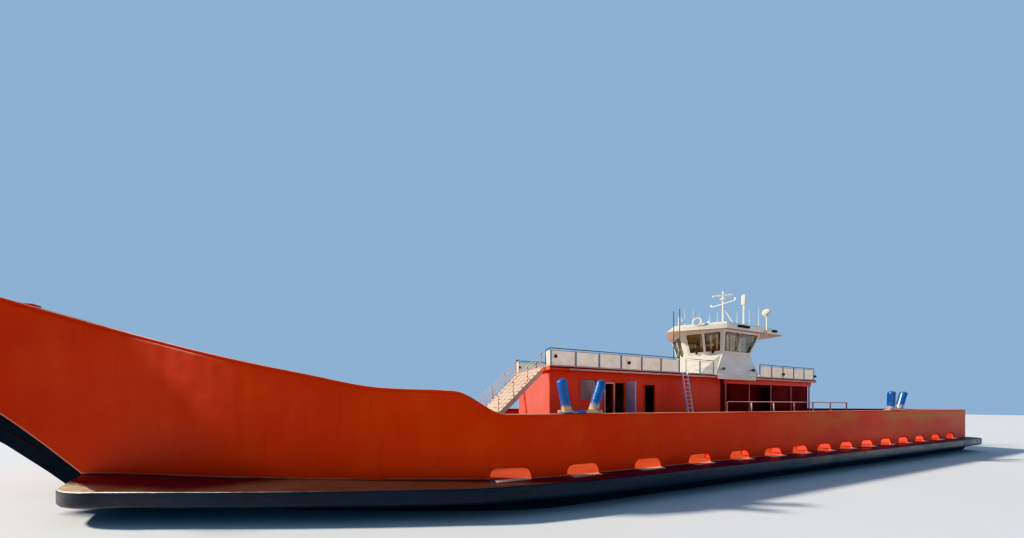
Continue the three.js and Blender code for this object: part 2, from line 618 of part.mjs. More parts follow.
// The wheelhouse's outline at a height, on straight lines through two levels.
function levelAt(low, high, z) {
  const share = (z - low.z) / (high.z - low.z);
  return { outline: low.outline.map((point, i) => between(point, high.outline[i], share)), z };
}

// The port half of an outline moved inwards. Its aft end stays open and keeps its x.
function inwards(outline, depth) {
  const [lastX, lastY] = outline[outline.length - 1];
  const path = [...outline, [lastX, -lastY]];
  const normals = outline.map(([x, y], i) => {
    const [dx, dy] = [path[i + 1][0] - x, path[i + 1][1] - y];
    return [-dy / Math.hypot(dx, dy), dx / Math.hypot(dx, dy)];
  });
  return outline.map(([x, y], i) => {
    const [before, after] = [normals[Math.max(0, i - 1)], normals[i]];
    const move = depth / (1 + before[0] * after[0] + before[1] * after[1]);
    return [x - (before[0] + after[0]) * move, y - (before[1] + after[1]) * move];
  });
}

// The solid through the port halves of outlines at their heights, completed by its mirror image.
function wholeLoft(levels) {
  const half = loft(levels.map(({ outline, z }) => [
    [outline[0][0], 0, z], ...outline.map(([x, y]) => [x, y, z]), [outline[outline.length - 1][0], 0, z]]));
  return half.add(mirrored(half));
}

// Two levels at a depth inside the outline, and beyond both by some height.
function insideLevels(low, high, depth, beyond) {
  const [a, b] = [low, high].map(({ outline, z }) => ({ outline: inwards(outline, depth), z }));
  return [low.z - beyond, high.z + beyond].map((z) => levelAt(a, b, z));
}

// A wall between two levels, from one depth inside the outline to another, and shorter at both ends by a margin. It
// is open below, above and aft.
function taperedWall(low, high, outer, inner, margin = 0) {
  const hollow = insideLevels(low, high, inner, 0.1).map(({ outline: [[aft, half], ...rest], z }) => (
    { outline: [[aft - 1, half], ...rest], z }));
  return wholeLoft(insideLevels(low, high, outer, -margin)).subtract(wholeLoft(hollow));
}

const waistLow = { ...houseWaist, z: houseWaist.z + GAP };
piece('wheelhouse_base', 'white', taperedWall(houseBase, houseWaist, 0, SKIN));

const SILL = DECK + 6.28;
const HEAD = DECK + 7.58;
// outlines (x, z) of the window holes in the sides
const sidePanes = [
  [[11.3, SILL], [12.75, SILL], [12.75, HEAD], [10.75, HEAD]],
  [[12.85, SILL], [14.15, SILL], [14.45, HEAD], [12.85, HEAD]],
];
// both ends of the window holes in a front face, as shares of the way from the ridge to the corner
const frontPanes = [[0.09, 0.46], [0.54, 0.91]];

function windowHoles() {
  const side = sidePanes.map((outline) => prism(outline, 'y', 1, 4));
  const front = frontPanes.map((ends) => loft([SILL, HEAD].map((z) => {
    const [, corner, , ridge] = levelAt(waistLow, houseHead, z).outline;
    const [[x0, y0], [x1, y1]] = ends.map((share) => between(ridge, corner, share));
    const [dx, dy] = [0.24, 0.18]; // half of the hole's depth, square to the face
    return [[x0 + dx, y0 + dy, z], [x1 + dx, y1 + dy, z], [x1 - dx, y1 - dy, z], [x0 - dx, y0 - dy, z]];
  })));
  return [...side, ...front].flatMap((hole) => [hole, mirrored(hole)]);
}

piece('wheelhouse_windows', 'white', cut(taperedWall(waistLow, houseHead, 0, SKIN), windowHoles()));

// The glass is one pane that follows the frame's inner side.
piece('wheelhouse_glass', 'glass', taperedWall(waistLow, houseHead, SKIN + 2 * GAP, SKIN + PANE, 0.02));

const wheelhouseDoorway = { y0: -0.4, y1: 0.4, low: BRIDGE_FLOOR + 0.1, high: ROOF_UNDER - 0.28 };
const bridgeHinge = {
  x: AFT_WALL.x - AFT_WALL.thick - DOOR.off, y: wheelhouseDoorway.y0 - DOOR.lap - 0.02, z: wheelhouseDoorway.low - 0.06 };

// The aft wall closes the base, and stands between the glass of both sides above it.
function aftWall() {
  const [base, waist, head] = [houseBase, houseWaist, houseHead].map(({ outline }) => outline[0][1]);
  const inside = SKIN + PANE + 2 * GAP;
  const port = [
    [base, houseBase.z], [waist, houseWaist.z], [waist - inside, houseWaist.z], [head - inside, houseHead.z]];
  const x0 = AFT_WALL.x - AFT_WALL.thick;
  const wall = prism([...port, ...port.map(([y, z]) => [-y, z]).reverse()], 'x', x0, AFT_WALL.x);
  const { y0, y1, low: sill, high } = wheelhouseDoorway;
  const holes = [
    box([10, 12], [y0, y1], [sill, high]),
    box([10, 12], [0.85, 1.6], [SILL + 0.1, HEAD]),
    box([10, 12], [-1.6, -0.85], [SILL + 0.1, HEAD]),
  ];
  const lugs = BARRELS.map((barrel) => box(
    [x0 - DOOR.off - LUG, x0 + 0.03], [bridgeHinge.y - LUG, bridgeHinge.y + LUG],
    [bridgeHinge.z + barrel - GAP - 0.05, bridgeHinge.z + barrel - GAP]));
  return join([cut(wall, holes), ...lugs]);
}

piece('wheelhouse_aft_wall', 'white', aftWall());
piece('wheelhouse_door', 'white', doorLeaf(0.94, wheelhouseDoorway.high - wheelhouseDoorway.low + 0.12),
  [bridgeHinge.x, bridgeHinge.y, bridgeHinge.z], Math.PI / 2);

const floorLevels = insideLevels(houseBase, houseWaist, SKIN + 0.04, 0);
const floorOutline = levelAt(...floorLevels, BRIDGE_FLOOR).outline;
piece('wheelhouse_floor', 'deckGreen', wholeLoft(
  [BRIDGE_FLOOR - 0.12, BRIDGE_FLOOR].map((z) => ({ outline: floorOutline, z }))));

// Roof: a wedge in front like the house below it, with sharp brims at both ends.
function wheelhouseRoof() {
  return wholeLoft([
    { outline: [[7.95, 2.3], [8.15, 2.5], [14.7, 2.5], [17.6, 0.15]], z: ROOF_UNDER },
    { outline: [[8.6, 2.3], [8.8, 2.5], [14.7, 2.5], [17.2, 0.15]], z: ROOF_UNDER + 0.24 },
    { outline: [[9.3, 2.2], [9.5, 2.4], [14.65, 2.4], [16.85, 0.15]], z: ROOF_TOP },
  ]);
}

piece('wheelhouse_roof', 'white', wheelhouseRoof());

// Steps lead up to the wheelhouse door.

function wheelhouseSteps() {
  const count = 5;
  const rise = (BRIDGE_FLOOR - UPPER) / count;
  const landing = box([10, AFT_WALL.x - AFT_WALL.thick - GAP], [-0.6, 0.95], [BRIDGE_FLOOR - 0.3, BRIDGE_FLOOR - 0.24]);
  const treads = spread(1, count - 1, count - 1).map((i) => box(
    [10 - 0.26 * i, 10 - 0.26 * (i - 1) + 0.04], [-0.6, 0.5],
    [BRIDGE_FLOOR - 0.24 - rise * i * 0.95 - 0.04, BRIDGE_FLOOR - 0.24 - rise * i * 0.95]));
  const foot = 10 - 0.26 * count;
  const stringers = [-0.6, 0.5].map((y) => prism(
    [[10.04, BRIDGE_FLOOR - 0.24], [foot, UPPER + GAP], [foot + 0.3, UPPER + GAP], [10.04, BRIDGE_FLOOR - 0.5]].reverse(),
    'y', y - 0.02, y + 0.02));
  const legs = [[10.95, -0.55], [10.95, 0.9], [10.05, 0.9]].map(([x, y]) => box(
    [x - 0.03, x + 0.03], [y - 0.03, y + 0.03], [UPPER + GAP, BRIDGE_FLOOR - 0.26]));
  return join([landing, ...treads, ...stringers, ...legs]);
}

piece('wheelhouse_steps', 'rail', wheelhouseSteps());

// Mast, scanner and aerial fittings on the roof

const MAST = { x: 11.4, radius: 0.07, platform: DECK + 11.1, yard: DECK + 10.7, pedestal: 0.16 };
const LIGHT_POLE = { x: MAST.x - 0.79, y: -0.52, top: DECK + 12 }; // clear of the turning scanner

function mast() {
  const base = ROOF_TOP + GAP;
  const pole = rod([MAST.x, 0, base], [MAST.x, 0, MAST.platform], MAST.radius, 10);
  const legs = [0.7, -0.7].map((y) => rod([MAST.x - 0.9, y, base + 0.06], [MAST.x, 0, DECK + 10.4], 0.035, 8));
  const lightPole = rod([LIGHT_POLE.x, LIGHT_POLE.y, base], [LIGHT_POLE.x, LIGHT_POLE.y, LIGHT_POLE.top], 0.04, 8);
  const lightStrut = rod([MAST.x, 0, MAST.yard], [LIGHT_POLE.x, LIGHT_POLE.y, MAST.yard], 0.03);
  const feet = [[MAST.x, 0], [MAST.x - 0.9, 0.7], [MAST.x - 0.9, -0.7]].map(([x, y]) => box(
    [x - 0.12, x + 0.12], [y - 0.12, y + 0.12], [base, base + 0.08]));
  const plate = rod([MAST.x, 0, MAST.platform - 0.05], [MAST.x, 0, MAST.platform], 0.22, 16);
  const pedestal = rod([MAST.x, 0, MAST.platform - 0.02], [MAST.x, 0, MAST.platform + MAST.pedestal], 0.1, 12);
  const yard = rod([MAST.x, -1.0, MAST.yard], [MAST.x, 1.0, MAST.yard], 0.03);
  return join([pole, ...legs, lightPole, lightStrut, ...feet, plate, pedestal, yard]);
}

piece('mast', 'white', mast());
piece('radar_scanner', 'white', join([
  box([-0.07, 0.07], [-0.8, 0.8], [0.05, 0.19]), rod([0, 0, 0], [0, 0, 0.1], 0.07, 12)]),
  [MAST.x, 0, MAST.platform + MAST.pedestal + GAP], 0.9);

piece('signal_post', 'white', join([
  rod([10.2, 0.9, ROOF_TOP + GAP], [10.2, 0.9, DECK + 10.6], 0.04, 8),
  rod([10.2, 0.9, DECK + 10.5], [10.2, 0.9, DECK + 11.3], 0.17, 12),
  box([10.08, 10.32], [0.78, 1.02], [ROOF_TOP + GAP, ROOF_TOP + 0.06])]));

function satelliteDome() {
  const profile = [[0, 0], [0.14, 0], [0.22, 0.1], [0.275, 0.24], [0.26, 0.4], [0.17, 0.52], [0, 0.57]];
  const dome = new THREE.LatheGeometry(profile.map(([r, z]) => new THREE.Vector2(r, z)), 16);
  dome.rotateX(Math.PI / 2);
  dome.translate(10.4, 2.62, DECK + 9.0);
  const post = rod([10.4, 2.62, ROOF_UNDER - 0.3], [10.4, 2.62, DECK + 9.05], 0.035, 8);
  const bracket = box([10.36, 10.44], [2.5 + GAP, 2.62], [ROOF_UNDER + 0.1, ROOF_UNDER + 0.2]);
  return join([solid(dome), post, bracket]);
}

piece('satellite_dome', 'white', satelliteDome());

// Mooring bitts: two splayed posts on a saddle over the bulwark's cap.

function bitts(x) {
  const y = shellAt(x) - 0.1;
  const top = DECK + sheerAt(x) + 0.05 + GAP;
  const posts = [-1, 1].map((way) => rod(
    [x + 0.49 * way, y, top + 0.07], [x + 0.73 * way, y + 0.1, top + 0.95], 0.16, 12));
  const saddle = box([x - 0.7, x + 0.7], [y - 0.2, y + 0.2], [top, top + 0.09]);
  return join([saddle, ...posts]);
}

for (const [name, x] of [['bitts_forward', 31.54], ['bitts_aft', 10.2]]) {
  pair(name, 'blue', bitts(x));
}

// Underwater gear: shafts with propellers, their brackets, rudders.

function propeller() {
  const shaft = rod([SHAFT.aft - 0.2, 0, 0], [SHAFT.front, 0, 0], SHAFT.radius, 24);
  const hub = rod([SHAFT.aft - 0.2, 0, 0], [SHAFT.aft + 0.22, 0, 0], 0.1, 16, 0.12);
  const blades = [0, 1, 2, 3].map((i) => {
    const outline = new THREE.Shape();
    outline.absellipse(0, 0.32, 0.17, 0.22, 0, Math.PI * 2);
    const blade = new THREE.ExtrudeGeometry(outline, { depth: 0.035, bevelEnabled: false, curveSegments: 6 });
    blade.rotateY(Math.PI / 2 - 0.6);
    blade.rotateX(Math.PI / 2 + (i * Math.PI) / 2);
    blade.translate(SHAFT.aft, 0, 0);
    return solid(blade);
  });
  return join([shaft, hub, ...blades]);
}

const propellerShape = propeller();
piece('propeller_port', 'bronze', propellerShape, [0, SHAFT.y, SHAFT.z]);
piece('propeller_starboard', 'bronze', mirrored(propellerShape), [0, -SHAFT.y, SHAFT.z]);

function shaftBracket() {
  const x = 5.35;
  const barrel = rod([x - 0.22, SHAFT.y, SHAFT.z], [x + 0.22, SHAFT.y, SHAFT.z], 0.12, 16);
  const arm = box([x - 0.15, x + 0.15], [SHAFT.y - 0.035, SHAFT.y + 0.035], [SHAFT.z, COUNTER - GAP]);
  const palm = box([x - 0.25, x + 0.25], [SHAFT.y - 0.12, SHAFT.y + 0.12], [COUNTER - 0.05, COUNTER - GAP]);
  const bore = rod([x - 1, SHAFT.y, SHAFT.z], [x + 1, SHAFT.y, SHAFT.z], SHAFT.radius + 1.6 * GAP, 24);
  return cut(join([barrel, arm, palm]), [bore]);
}

pair('shaft_bracket', 'black', shaftBracket());

function rudder() {
  const outline = [[0.32, 0], [0.22, 0.07], [0, 0.08], [-0.4, 0.045], [-0.62, 0.01], [-0.62, -0.01], [-0.4, -0.045],
    [0, -0.08], [0.22, -0.07]];
  const blade = prism(outline, 'z', RUDDER.low, COUNTER - 0.04);
  const stock = rod([0, 0, 1], [0, 0, COUNTER + RUDDER.depth], RUDDER.stock, 24);
  return blade.add(stock);
}

const rudderShape = rudder();
piece('rudder_port', 'black', rudderShape, [RUDDER.x, SHAFT.y, 0]);
piece('rudder_starboard', 'black', mirrored(rudderShape), [RUDDER.x, -SHAFT.y, 0]);

export default ferry;
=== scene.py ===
# %% [markdown]
# # A vehicle ferry, dressed around its solids
#
# The solids of the ferry come ready made, at half the real size. This lesson gives each of them its finish,
# and puts finely shaped pieces where a solid is too plain: the plated sides, the rub rail, the pipe rails,
# lamps and aerials. Every size is written as on the real ferry, in metres, and one function takes it to the
# model.

# %% Load the solids
import json
import math

import bpy
import bmesh
import numpy as np
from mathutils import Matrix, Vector

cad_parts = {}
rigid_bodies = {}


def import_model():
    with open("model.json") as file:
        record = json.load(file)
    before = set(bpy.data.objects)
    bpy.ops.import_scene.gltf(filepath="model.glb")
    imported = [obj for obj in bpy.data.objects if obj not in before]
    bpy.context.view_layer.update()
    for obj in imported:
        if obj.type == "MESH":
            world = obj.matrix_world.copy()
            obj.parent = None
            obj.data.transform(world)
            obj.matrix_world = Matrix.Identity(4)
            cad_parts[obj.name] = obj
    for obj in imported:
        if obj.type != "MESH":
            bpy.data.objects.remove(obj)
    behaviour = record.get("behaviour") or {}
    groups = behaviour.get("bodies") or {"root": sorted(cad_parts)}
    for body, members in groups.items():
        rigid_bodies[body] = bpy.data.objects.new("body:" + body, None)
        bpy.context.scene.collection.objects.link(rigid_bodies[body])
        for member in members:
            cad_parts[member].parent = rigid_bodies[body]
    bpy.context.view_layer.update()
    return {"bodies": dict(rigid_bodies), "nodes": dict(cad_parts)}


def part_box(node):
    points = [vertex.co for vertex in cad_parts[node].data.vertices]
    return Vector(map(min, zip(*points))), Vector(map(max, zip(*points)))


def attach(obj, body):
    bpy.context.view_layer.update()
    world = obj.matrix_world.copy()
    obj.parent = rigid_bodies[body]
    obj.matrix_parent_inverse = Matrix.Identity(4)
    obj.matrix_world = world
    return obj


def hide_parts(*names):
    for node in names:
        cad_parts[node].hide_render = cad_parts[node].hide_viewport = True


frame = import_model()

# %% [markdown]
# ## From the ferry to the model
#
# On the real ferry x is measured forward from the transom, y to port and z up from the flat bottom. The model
# is half as large and centred on its length, so a size is halved and x is shifted. The heights of the decks
# are read from the solids, so that a new deck height there moves everything here as well.

# %% Scale, origin and the heights that the solids have
METRE = 0.5
MM = METRE / 1000
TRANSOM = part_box("hull")[0].x
WATER = 1.5


def real(places):
    """Frame points of real places (..., 3): all is halved, and x is counted from the transom."""
    return np.asarray(places, float) * METRE + [TRANSOM, 0, 0]


def box_of(node):
    """The low and the high corner of a solid, in real metres."""
    return [(np.array(corner) - [TRANSOM, 0, 0]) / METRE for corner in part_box(node)]


def unit(vectors):
    """The same directions with length 1: each is divided by its own length."""
    vectors = np.asarray(vectors, float)
    return vectors / np.linalg.norm(vectors, axis=-1, keepdims=True)


DECK, TRUNK, UPPER = (box_of(node)[1][2] for node in ("guard_port", "trunk", "upper_deck"))
ROOF_UNDER, ROOF = (corner[2] for corner in box_of("wheelhouse_roof"))
print(f"decks at {DECK:.2f}, {TRUNK:.2f}, {UPPER:.2f}, roof {ROOF:.2f}, waterline {WATER:.2f} m")

# %% [markdown]
# ## The camera
#
# The photograph is taken from a quay or another boat, some 8 m off the port side and a little over 2 m above
# the car deck, with a wide lens held level. The horizon lies below the middle of the picture, which a
# vertical shift gives without tilting the camera, so that posts stay upright as they do in the photograph.

# %% Camera
LENS = dict(place=(37.0, 16.93, DECK + 2.15), turn=21.4, focal_px=300, width_px=1024, horizon_px=137)


def make_camera():
    """A level camera. Its focal length is focal_px / width_px of the sensor, its shift horizon_px /
    width_px."""
    camera = bpy.data.objects.new("camera", bpy.data.cameras.new("camera"))
    bpy.context.scene.collection.objects.link(camera)
    camera.location = real(LENS["place"])
    camera.rotation_euler = (math.radians(90), 0, math.radians(180 - LENS["turn"]))
    camera.data.sensor_width = 36
    camera.data.lens = camera.data.sensor_width * LENS["focal_px"] / LENS["width_px"]
    camera.data.shift_y = LENS["horizon_px"] / LENS["width_px"]
    camera.data.clip_end = 500
    bpy.context.scene.camera = camera
    return camera


print("lens:", round(make_camera().data.lens, 2), "mm")

# %% [markdown]
# ## Small tools for materials
#
# A finish is a tree of nodes. One function turns a hex colour to the linear numbers that the renderer wants,
# and one adds a node with its settings and links. Patterns read Object coordinates, which are metres of the
# model, so a size on the real ferry becomes a texture scale by one division.

# %% Colours, nodes and pattern scales
def linear(hex_colour):
    """The linear RGBA of an sRGB hex colour: c / 12.92 below 0.04045, else ((c + 0.055) / 1.055) ** 2.4."""
    srgb = np.array([int(hex_colour[i:i + 2], 16) for i in (1, 3, 5)]) / 255
    rgb = np.where(srgb <= 0.04045, srgb / 12.92, ((srgb + 0.055) / 1.055) ** 2.4)
    return (*rgb.tolist(), 1.0)


def add(tree, kind, inputs=None, **settings):
    """Adds a shader node. A value in inputs that is a socket is linked, and any other is set on the input."""
    node = tree.nodes.new("ShaderNode" + kind)
    for key, value in settings.items():
        setattr(node, key, value)
    for key, value in (inputs or {}).items():
        if isinstance(value, bpy.types.NodeSocket):
            tree.links.new(value, node.inputs[key])
        else:
            node.inputs[key].default_value = value
    return node


def per(millimetres):
    """The texture scale that repeats a pattern once in so many real millimetres."""
    return 1 / (millimetres * MM)


WAVE_ONCE = 0.31416  # the scale at which Blender's wave texture repeats once in a unit
print("a pattern of 600 mm has the scale", round(per(600), 3))

# %% [markdown]
# ## Patterns that several finishes share
#
# Paint at sea fades in patches, is washed by streaks that run down from every ledge, and is scuffed where
# ropes and quays touch it. Each of these is a noise, stretched to the shape of what makes it, and cut by two
# thresholds so that only its peaks show. As on the slip, the coats go on one after the other, each through
# the mask of its own marks.

# %% A finish and its coats
class Finish:
    """A finish in the making: material, tree and shader, the place on the piece, and the colour so far. It
    starts from a hex colour, or as a copy of a ready finish. The numbers are set on the shader itself."""

    def __init__(self, name, under, numbers=None):
        ready = isinstance(under, bpy.types.Material)
        self.material = under.copy() if ready else bpy.data.materials.new(name)
        self.material.name = name
        self.material.use_nodes = True
        self.tree = self.material.node_tree
        self.shader = self.tree.nodes["Principled BSDF"]
        self.place = self.add("TexCoord").outputs["Object"]
        self.colour = self.so_far("Base Color") if ready else under
        for key, number in (numbers or {}).items():
            self.shader.inputs[key].default_value = number

    def add(self, kind, inputs=None, **settings):
        return add(self.tree, kind, inputs, **settings)

    def so_far(self, key):
        """The socket that feeds an input of the copied shader."""
        return self.shader.inputs[key].links[0].from_socket

    def ramp(self, value, low, high):
        """0 where the value is low and 1 where it is high, evenly between; low may be the larger one."""
        return self.add("MapRange", {"Value": value, "From Min": low, "From Max": high}).outputs[0]

    def between(self, mask, low, high):
        """A number that goes from low where the mask is 0 to high where it is 1."""
        return self.add("MapRange", {"Value": mask, "To Min": low, "To Max": high}).outputs[0]

    def both(self, first, *others):
        """1 where all the masks are 1: their product. A number among them makes the rest weaker."""
        for other in others:
            first = self.add("Math", {0: first, 1: other}, operation="MULTIPLY").outputs[0]
        return first

    def marks(self, size, low, high, detail=5.0, offset=0.0):
        """A mask of marks: noise in cells of size (x, y, z millimetres), 0 below low and 1 above high."""
        cells = self.add("Mapping", {"Vector": self.place, "Scale": [per(s) for s in size],
                                     "Location": (offset, offset * 0.7, offset * 1.3)})
        noise = self.add("TexNoise", {"Vector": cells.outputs[0], "Scale": 1.0, "Detail": detail})
        return self.ramp(noise.outputs[0], low, high)

    def facing_up(self, low=0.6, high=0.8):
        """1 on faces that look up, 0 on walls: the z of the normal, between two thresholds."""
        normal = self.add("NewGeometry").outputs["Normal"]
        return self.ramp(self.add("SeparateXYZ", {0: normal}).outputs["Z"], low, high)

    def height(self, low, high):
        """0 at the real height low and 1 at the real height high."""
        z = self.add("SeparateXYZ", {0: self.place}).outputs["Z"]
        return self.ramp(z, low * METRE, high * METRE)

    def beyond(self, point, way, width=0.01):
        """0 behind a plane, 1 ahead of it: the distance from a point along a direction, over a width."""
        point = real(point).tolist()
        off = self.add("VectorMath", {0: self.place, 1: point}, operation="SUBTRACT").outputs[0]
        distance = self.add("VectorMath", {0: off, 1: unit(way).tolist()}, operation="DOT_PRODUCT").outputs[1]
        return self.ramp(distance, 0.0, width * METRE)

    def painted(self, mask, under, over):
        """Colour over where the mask is 1, colour under where it is 0; both are hex colours or sockets."""
        under, over = (linear(colour) if isinstance(colour, str) else colour for colour in (under, over))
        return self.add("Mix", {0: mask, 6: under, 7: over}, data_type="RGBA").outputs[2]

    def coat(self, mask, over, amount=1.0):
        """One more coat over the colour so far, where the mask is 1, as thick as the amount."""
        self.colour = self.painted(self.both(mask, amount) if amount < 1 else mask, self.colour, over)

    def done(self, rough=None, *layers):
        """Links the colour to the shader, and roughness and relief where they are given. A layer of relief is
        (height, depth in real millimetres), the coarsest first."""
        normal = None
        for height, depth in layers:
            below = {"Normal": normal} if normal else {}
            bump = self.add("Bump", {"Height": height, "Distance": depth * MM, "Strength": 1.0, **below})
            normal = bump.outputs[0]
        for key, socket in (("Base Color", self.colour), ("Roughness", rough), ("Normal", normal)):
            if socket:
                self.tree.links.new(socket, self.shader.inputs[key])
        return self.material


print("patterns ready")

# %% [markdown]
# ## Orange marine enamel
#
# Alkyd enamel, rolled over steel plate that is 8 mm thick and welded to frames every 600 mm. The plate is
# drawn in between the frames, which shows as soft upright bands in the gloss. Sun fades it in patches, rain
# washes darker and chalky streaks down from the cap, and the lower edge is scuffed by ropes. The bands are a
# sine along the ship, the rest are stretched noises, because no two streaks on the real side are alike.

# %% Orange enamel
def orange_enamel(name="marine_enamel_orange", base="#de3a10", deep="#c82e0a", faded="#e2602e"):
    look = Finish(name, base, {"Specular IOR Level": 0.25})
    look.coat(look.marks((7000, 7000, 3200), 0.35, 0.7, detail=3.0), deep)
    chalk = look.both(look.marks((900, 900, 2600), 0.5, 0.85, offset=3.0), 0.3)
    look.coat(chalk, faded)
    look.coat(look.marks((110, 110, 1900), 0.62, 0.8, offset=9.0), "#7a2410", 0.3)
    low_down = look.height(DECK + 1.3, DECK + 0.1)
    look.coat(look.both(low_down, look.marks((900, 900, 40), 0.66, 0.72, offset=5.0)), "#3c1a12", 0.4)
    look.coat(look.marks((70, 70, 110), 0.74, 0.8, offset=7.0), "#5a2a12", 0.8)
    frames = look.add("TexWave", {"Vector": look.place, "Scale": WAVE_ONCE * per(600), "Distortion": 0.6},
                      wave_profile="SIN").outputs[1]
    peel = look.marks((14, 14, 14), 0.2, 0.8, detail=2.0)
    dents = look.marks((1400, 1400, 900), 0.3, 0.7, detail=2.0, offset=2.0)
    return look.done(look.between(chalk, 0.5, 0.8), (dents, 16), (frames, 2.2), (peel, 0.25))


def cap_enamel():
    """The orange of the caps, pink where a face looks up: partly rubbed and bleached paint, partly a painted
    highlight where the sun falls on the top.
    """
    look = Finish("marine_enamel_orange_cap", ORANGE)
    # pink in patches on faces that look up: partly rope wear, partly a painted sunlit highlight
    rubbed_and_lit = look.both(look.facing_up(0.3, 0.6), look.marks((1200, 1200, 300), 0.25, 0.45, offset=13.0))
    look.coat(rubbed_and_lit, "#efb39c", 0.85)
    return look.done()


def side_enamel(point=(46.2, 3.0, DECK), way=(0.9, 0.0, -1.0)):
    """The orange of the plated sides: browner and paler in patches aft near the edge, a painted warm
    reflection; a pink line at the foot, partly scuffed paint and partly a painted edge highlight; a thin pink
    painted highlight along a slanting line at the stem, and black ahead of that line. The line is a plane
    through a point, across a direction."""
    look = Finish("marine_enamel_orange_side", ORANGE)
    # warm tan patches high on the aft side: painted warm reflection
    aft = look.both(look.height(DECK + 0.4, DECK + 1.5), look.beyond((23, 0, 0), (-1, 0, 0), 9))
    look.coat(look.both(aft, look.marks((2600, 2600, 900), 0.38, 0.55, offset=11.0)), "#c06a22", 0.75)
    # pink line at the foot: partly scuffed paint, partly a painted edge highlight
    foot = look.height(DECK + 0.07, DECK + 0.035)
    look.coat(look.both(foot, look.marks((600, 600, 60), 0.3, 0.5, offset=12.0)), "#e0a58e", 0.8)
    # thin pink line just behind the black at the stem: painted edge highlight
    look.coat(look.beyond((point[0] - 0.06, *point[1:]), way), "#d98f74")
    look.coat(look.beyond(point, way), "#14161a")
    return look.done()


ORANGE = orange_enamel()
SIDE_ORANGE = side_enamel()
CAP_ORANGE = cap_enamel()
HOUSE_RED = orange_enamel("marine_enamel_red", "#f06a52", "#dc5640", "#f0907a")
print(ORANGE.name, SIDE_ORANGE.name, HOUSE_RED.name)

# %% [markdown]
# ## Black enamel and antifouling
#
# The rub rail and the hull are black. Tyres and quays have rubbed the face of the rail to a dull grey in long
# scrapes, and on the forward half dust and rust lie on its top and turn it brown; aft of that it is glossy
# and mirrors the sky. At the very front the paint is worn away to sandy primer. Near the water a brown-green
# film grows.

# %% Black finishes
def black_enamel():
    look = Finish("marine_enamel_black", "#141922")
    dull = look.marks((1500, 1500, 500), 0.35, 0.75)
    look.coat(dull, "#232b38")
    look.coat(look.marks((700, 700, 22), 0.62, 0.7, offset=4.0), "#4a4642", 0.55)
    dust = look.between(look.marks((800, 300, 300), 0.2, 0.7, offset=6.0), 0.75, 1.0)
    look.coat(look.both(look.facing_up(), look.beyond((27, 0, 0), (1, 0, 0), 6), dust), "#4c3832")
    near_water = look.height(WATER + 0.32, WATER + 0.05)
    look.coat(look.both(near_water, look.marks((220, 220, 90), 0.3, 0.6, offset=1.0)), "#3a3a26", 0.8)
    grain = look.marks((22, 22, 22), 0.2, 0.8, detail=3.0)
    dents = look.marks((700, 700, 400), 0.3, 0.7, detail=2.0, offset=2.0)
    return look.done(look.between(dull, 0.32, 0.5), (dents, 14), (grain, 0.8))


def worn_nose(line=((45.63, 4.15), (43.43, 6.62))):
    """Black enamel, its top worn to sandy primer ahead of a line across the rail: the mask is the distance
    from the line through two places in plan, with a ragged edge of noise."""
    look = Finish("worn_rub_rail", BLACK)
    (x0, y0), (x1, y1) = line
    ahead = look.beyond((x0, y0, 0), (y1 - y0, x0 - x1, 0), 0.12)
    ragged = look.marks((130, 130, 60), 0.2, 0.8, offset=8.0)
    edge = look.add("Math", {0: ahead, 1: ragged}, operation="ADD").outputs[0]
    primer = look.painted(look.marks((160, 160, 50), 0.35, 0.65, offset=2.0), "#a88761", "#d8cdb4")
    look.coat(look.both(look.ramp(edge, 1.05, 1.3), look.facing_up()), primer)
    return look.done()


BLACK = black_enamel()
NOSE = worn_nose()
print(BLACK.name, NOSE.name)

# %% [markdown]
# ## Deck paint
#
# The car deck has the ferry's orange as well, as the sunlit strips behind the freeing ports show, mixed with
# sand so that tyres grip. Rolling wheels leave dark tracks along each lane. The sand is drawn at 18 mm where
# real grit is 2 mm, because grit would be lost between two pixels.

# %% Deck paints
TRACKS = (5.35, 7.15)  # distance of the wheel tracks from the centreline


def deck_paint(name, base, worn, tracks=()):
    look = Finish(name, base)
    patches = look.marks((1800, 1800, 1800), 0.35, 0.7)
    look.coat(patches, worn)
    if tracks:
        y = look.add("SeparateXYZ", {0: look.place}).outputs["Y"]
        side = look.add("Math", {0: y}, operation="ABSOLUTE").outputs[0]
        smear = look.marks((5000, 240, 240), 0.3, 0.65, offset=4.0)
    for track in tracks:
        off = look.add("Math", {0: side, 1: track * METRE}, operation="SUBTRACT").outputs[0]
        off = look.add("Math", {0: off}, operation="ABSOLUTE").outputs[0]
        look.coat(look.both(look.ramp(off, 0.42 * METRE, 0.12 * METRE), smear), "#2b1c18", 0.75)
    look.coat(look.marks((240, 240, 240), 0.66, 0.74, offset=7.0), "#5b2f18", 0.7)
    grit = look.marks((18, 18, 18), 0.3, 0.7, detail=2.0)
    return look.done(look.between(patches, 0.7, 0.88), (grit, 1.6))


CAR_DECK = deck_paint("nonskid_deck_paint_orange", "#cc5632", "#a63e22", TRACKS)
WALK_DECK = deck_paint("nonskid_deck_paint_grey", "#5c6561", "#4a524f")
DARK_RED = deck_paint("oxide_red_primer", "#6f1f12", "#561a10")
print(CAR_DECK.name, WALK_DECK.name, DARK_RED.name)

# %% [markdown]
# ## White enamel, cream enamel, pipe enamel
#
# The wheelhouse is off-white gloss enamel. Salt and rain leave faint grey streaks under each ledge, and rust
# weeps from bolts. The stair and the door frames are an older, yellower cream. The pipe rails have a
# grey-blue enamel over zinc.

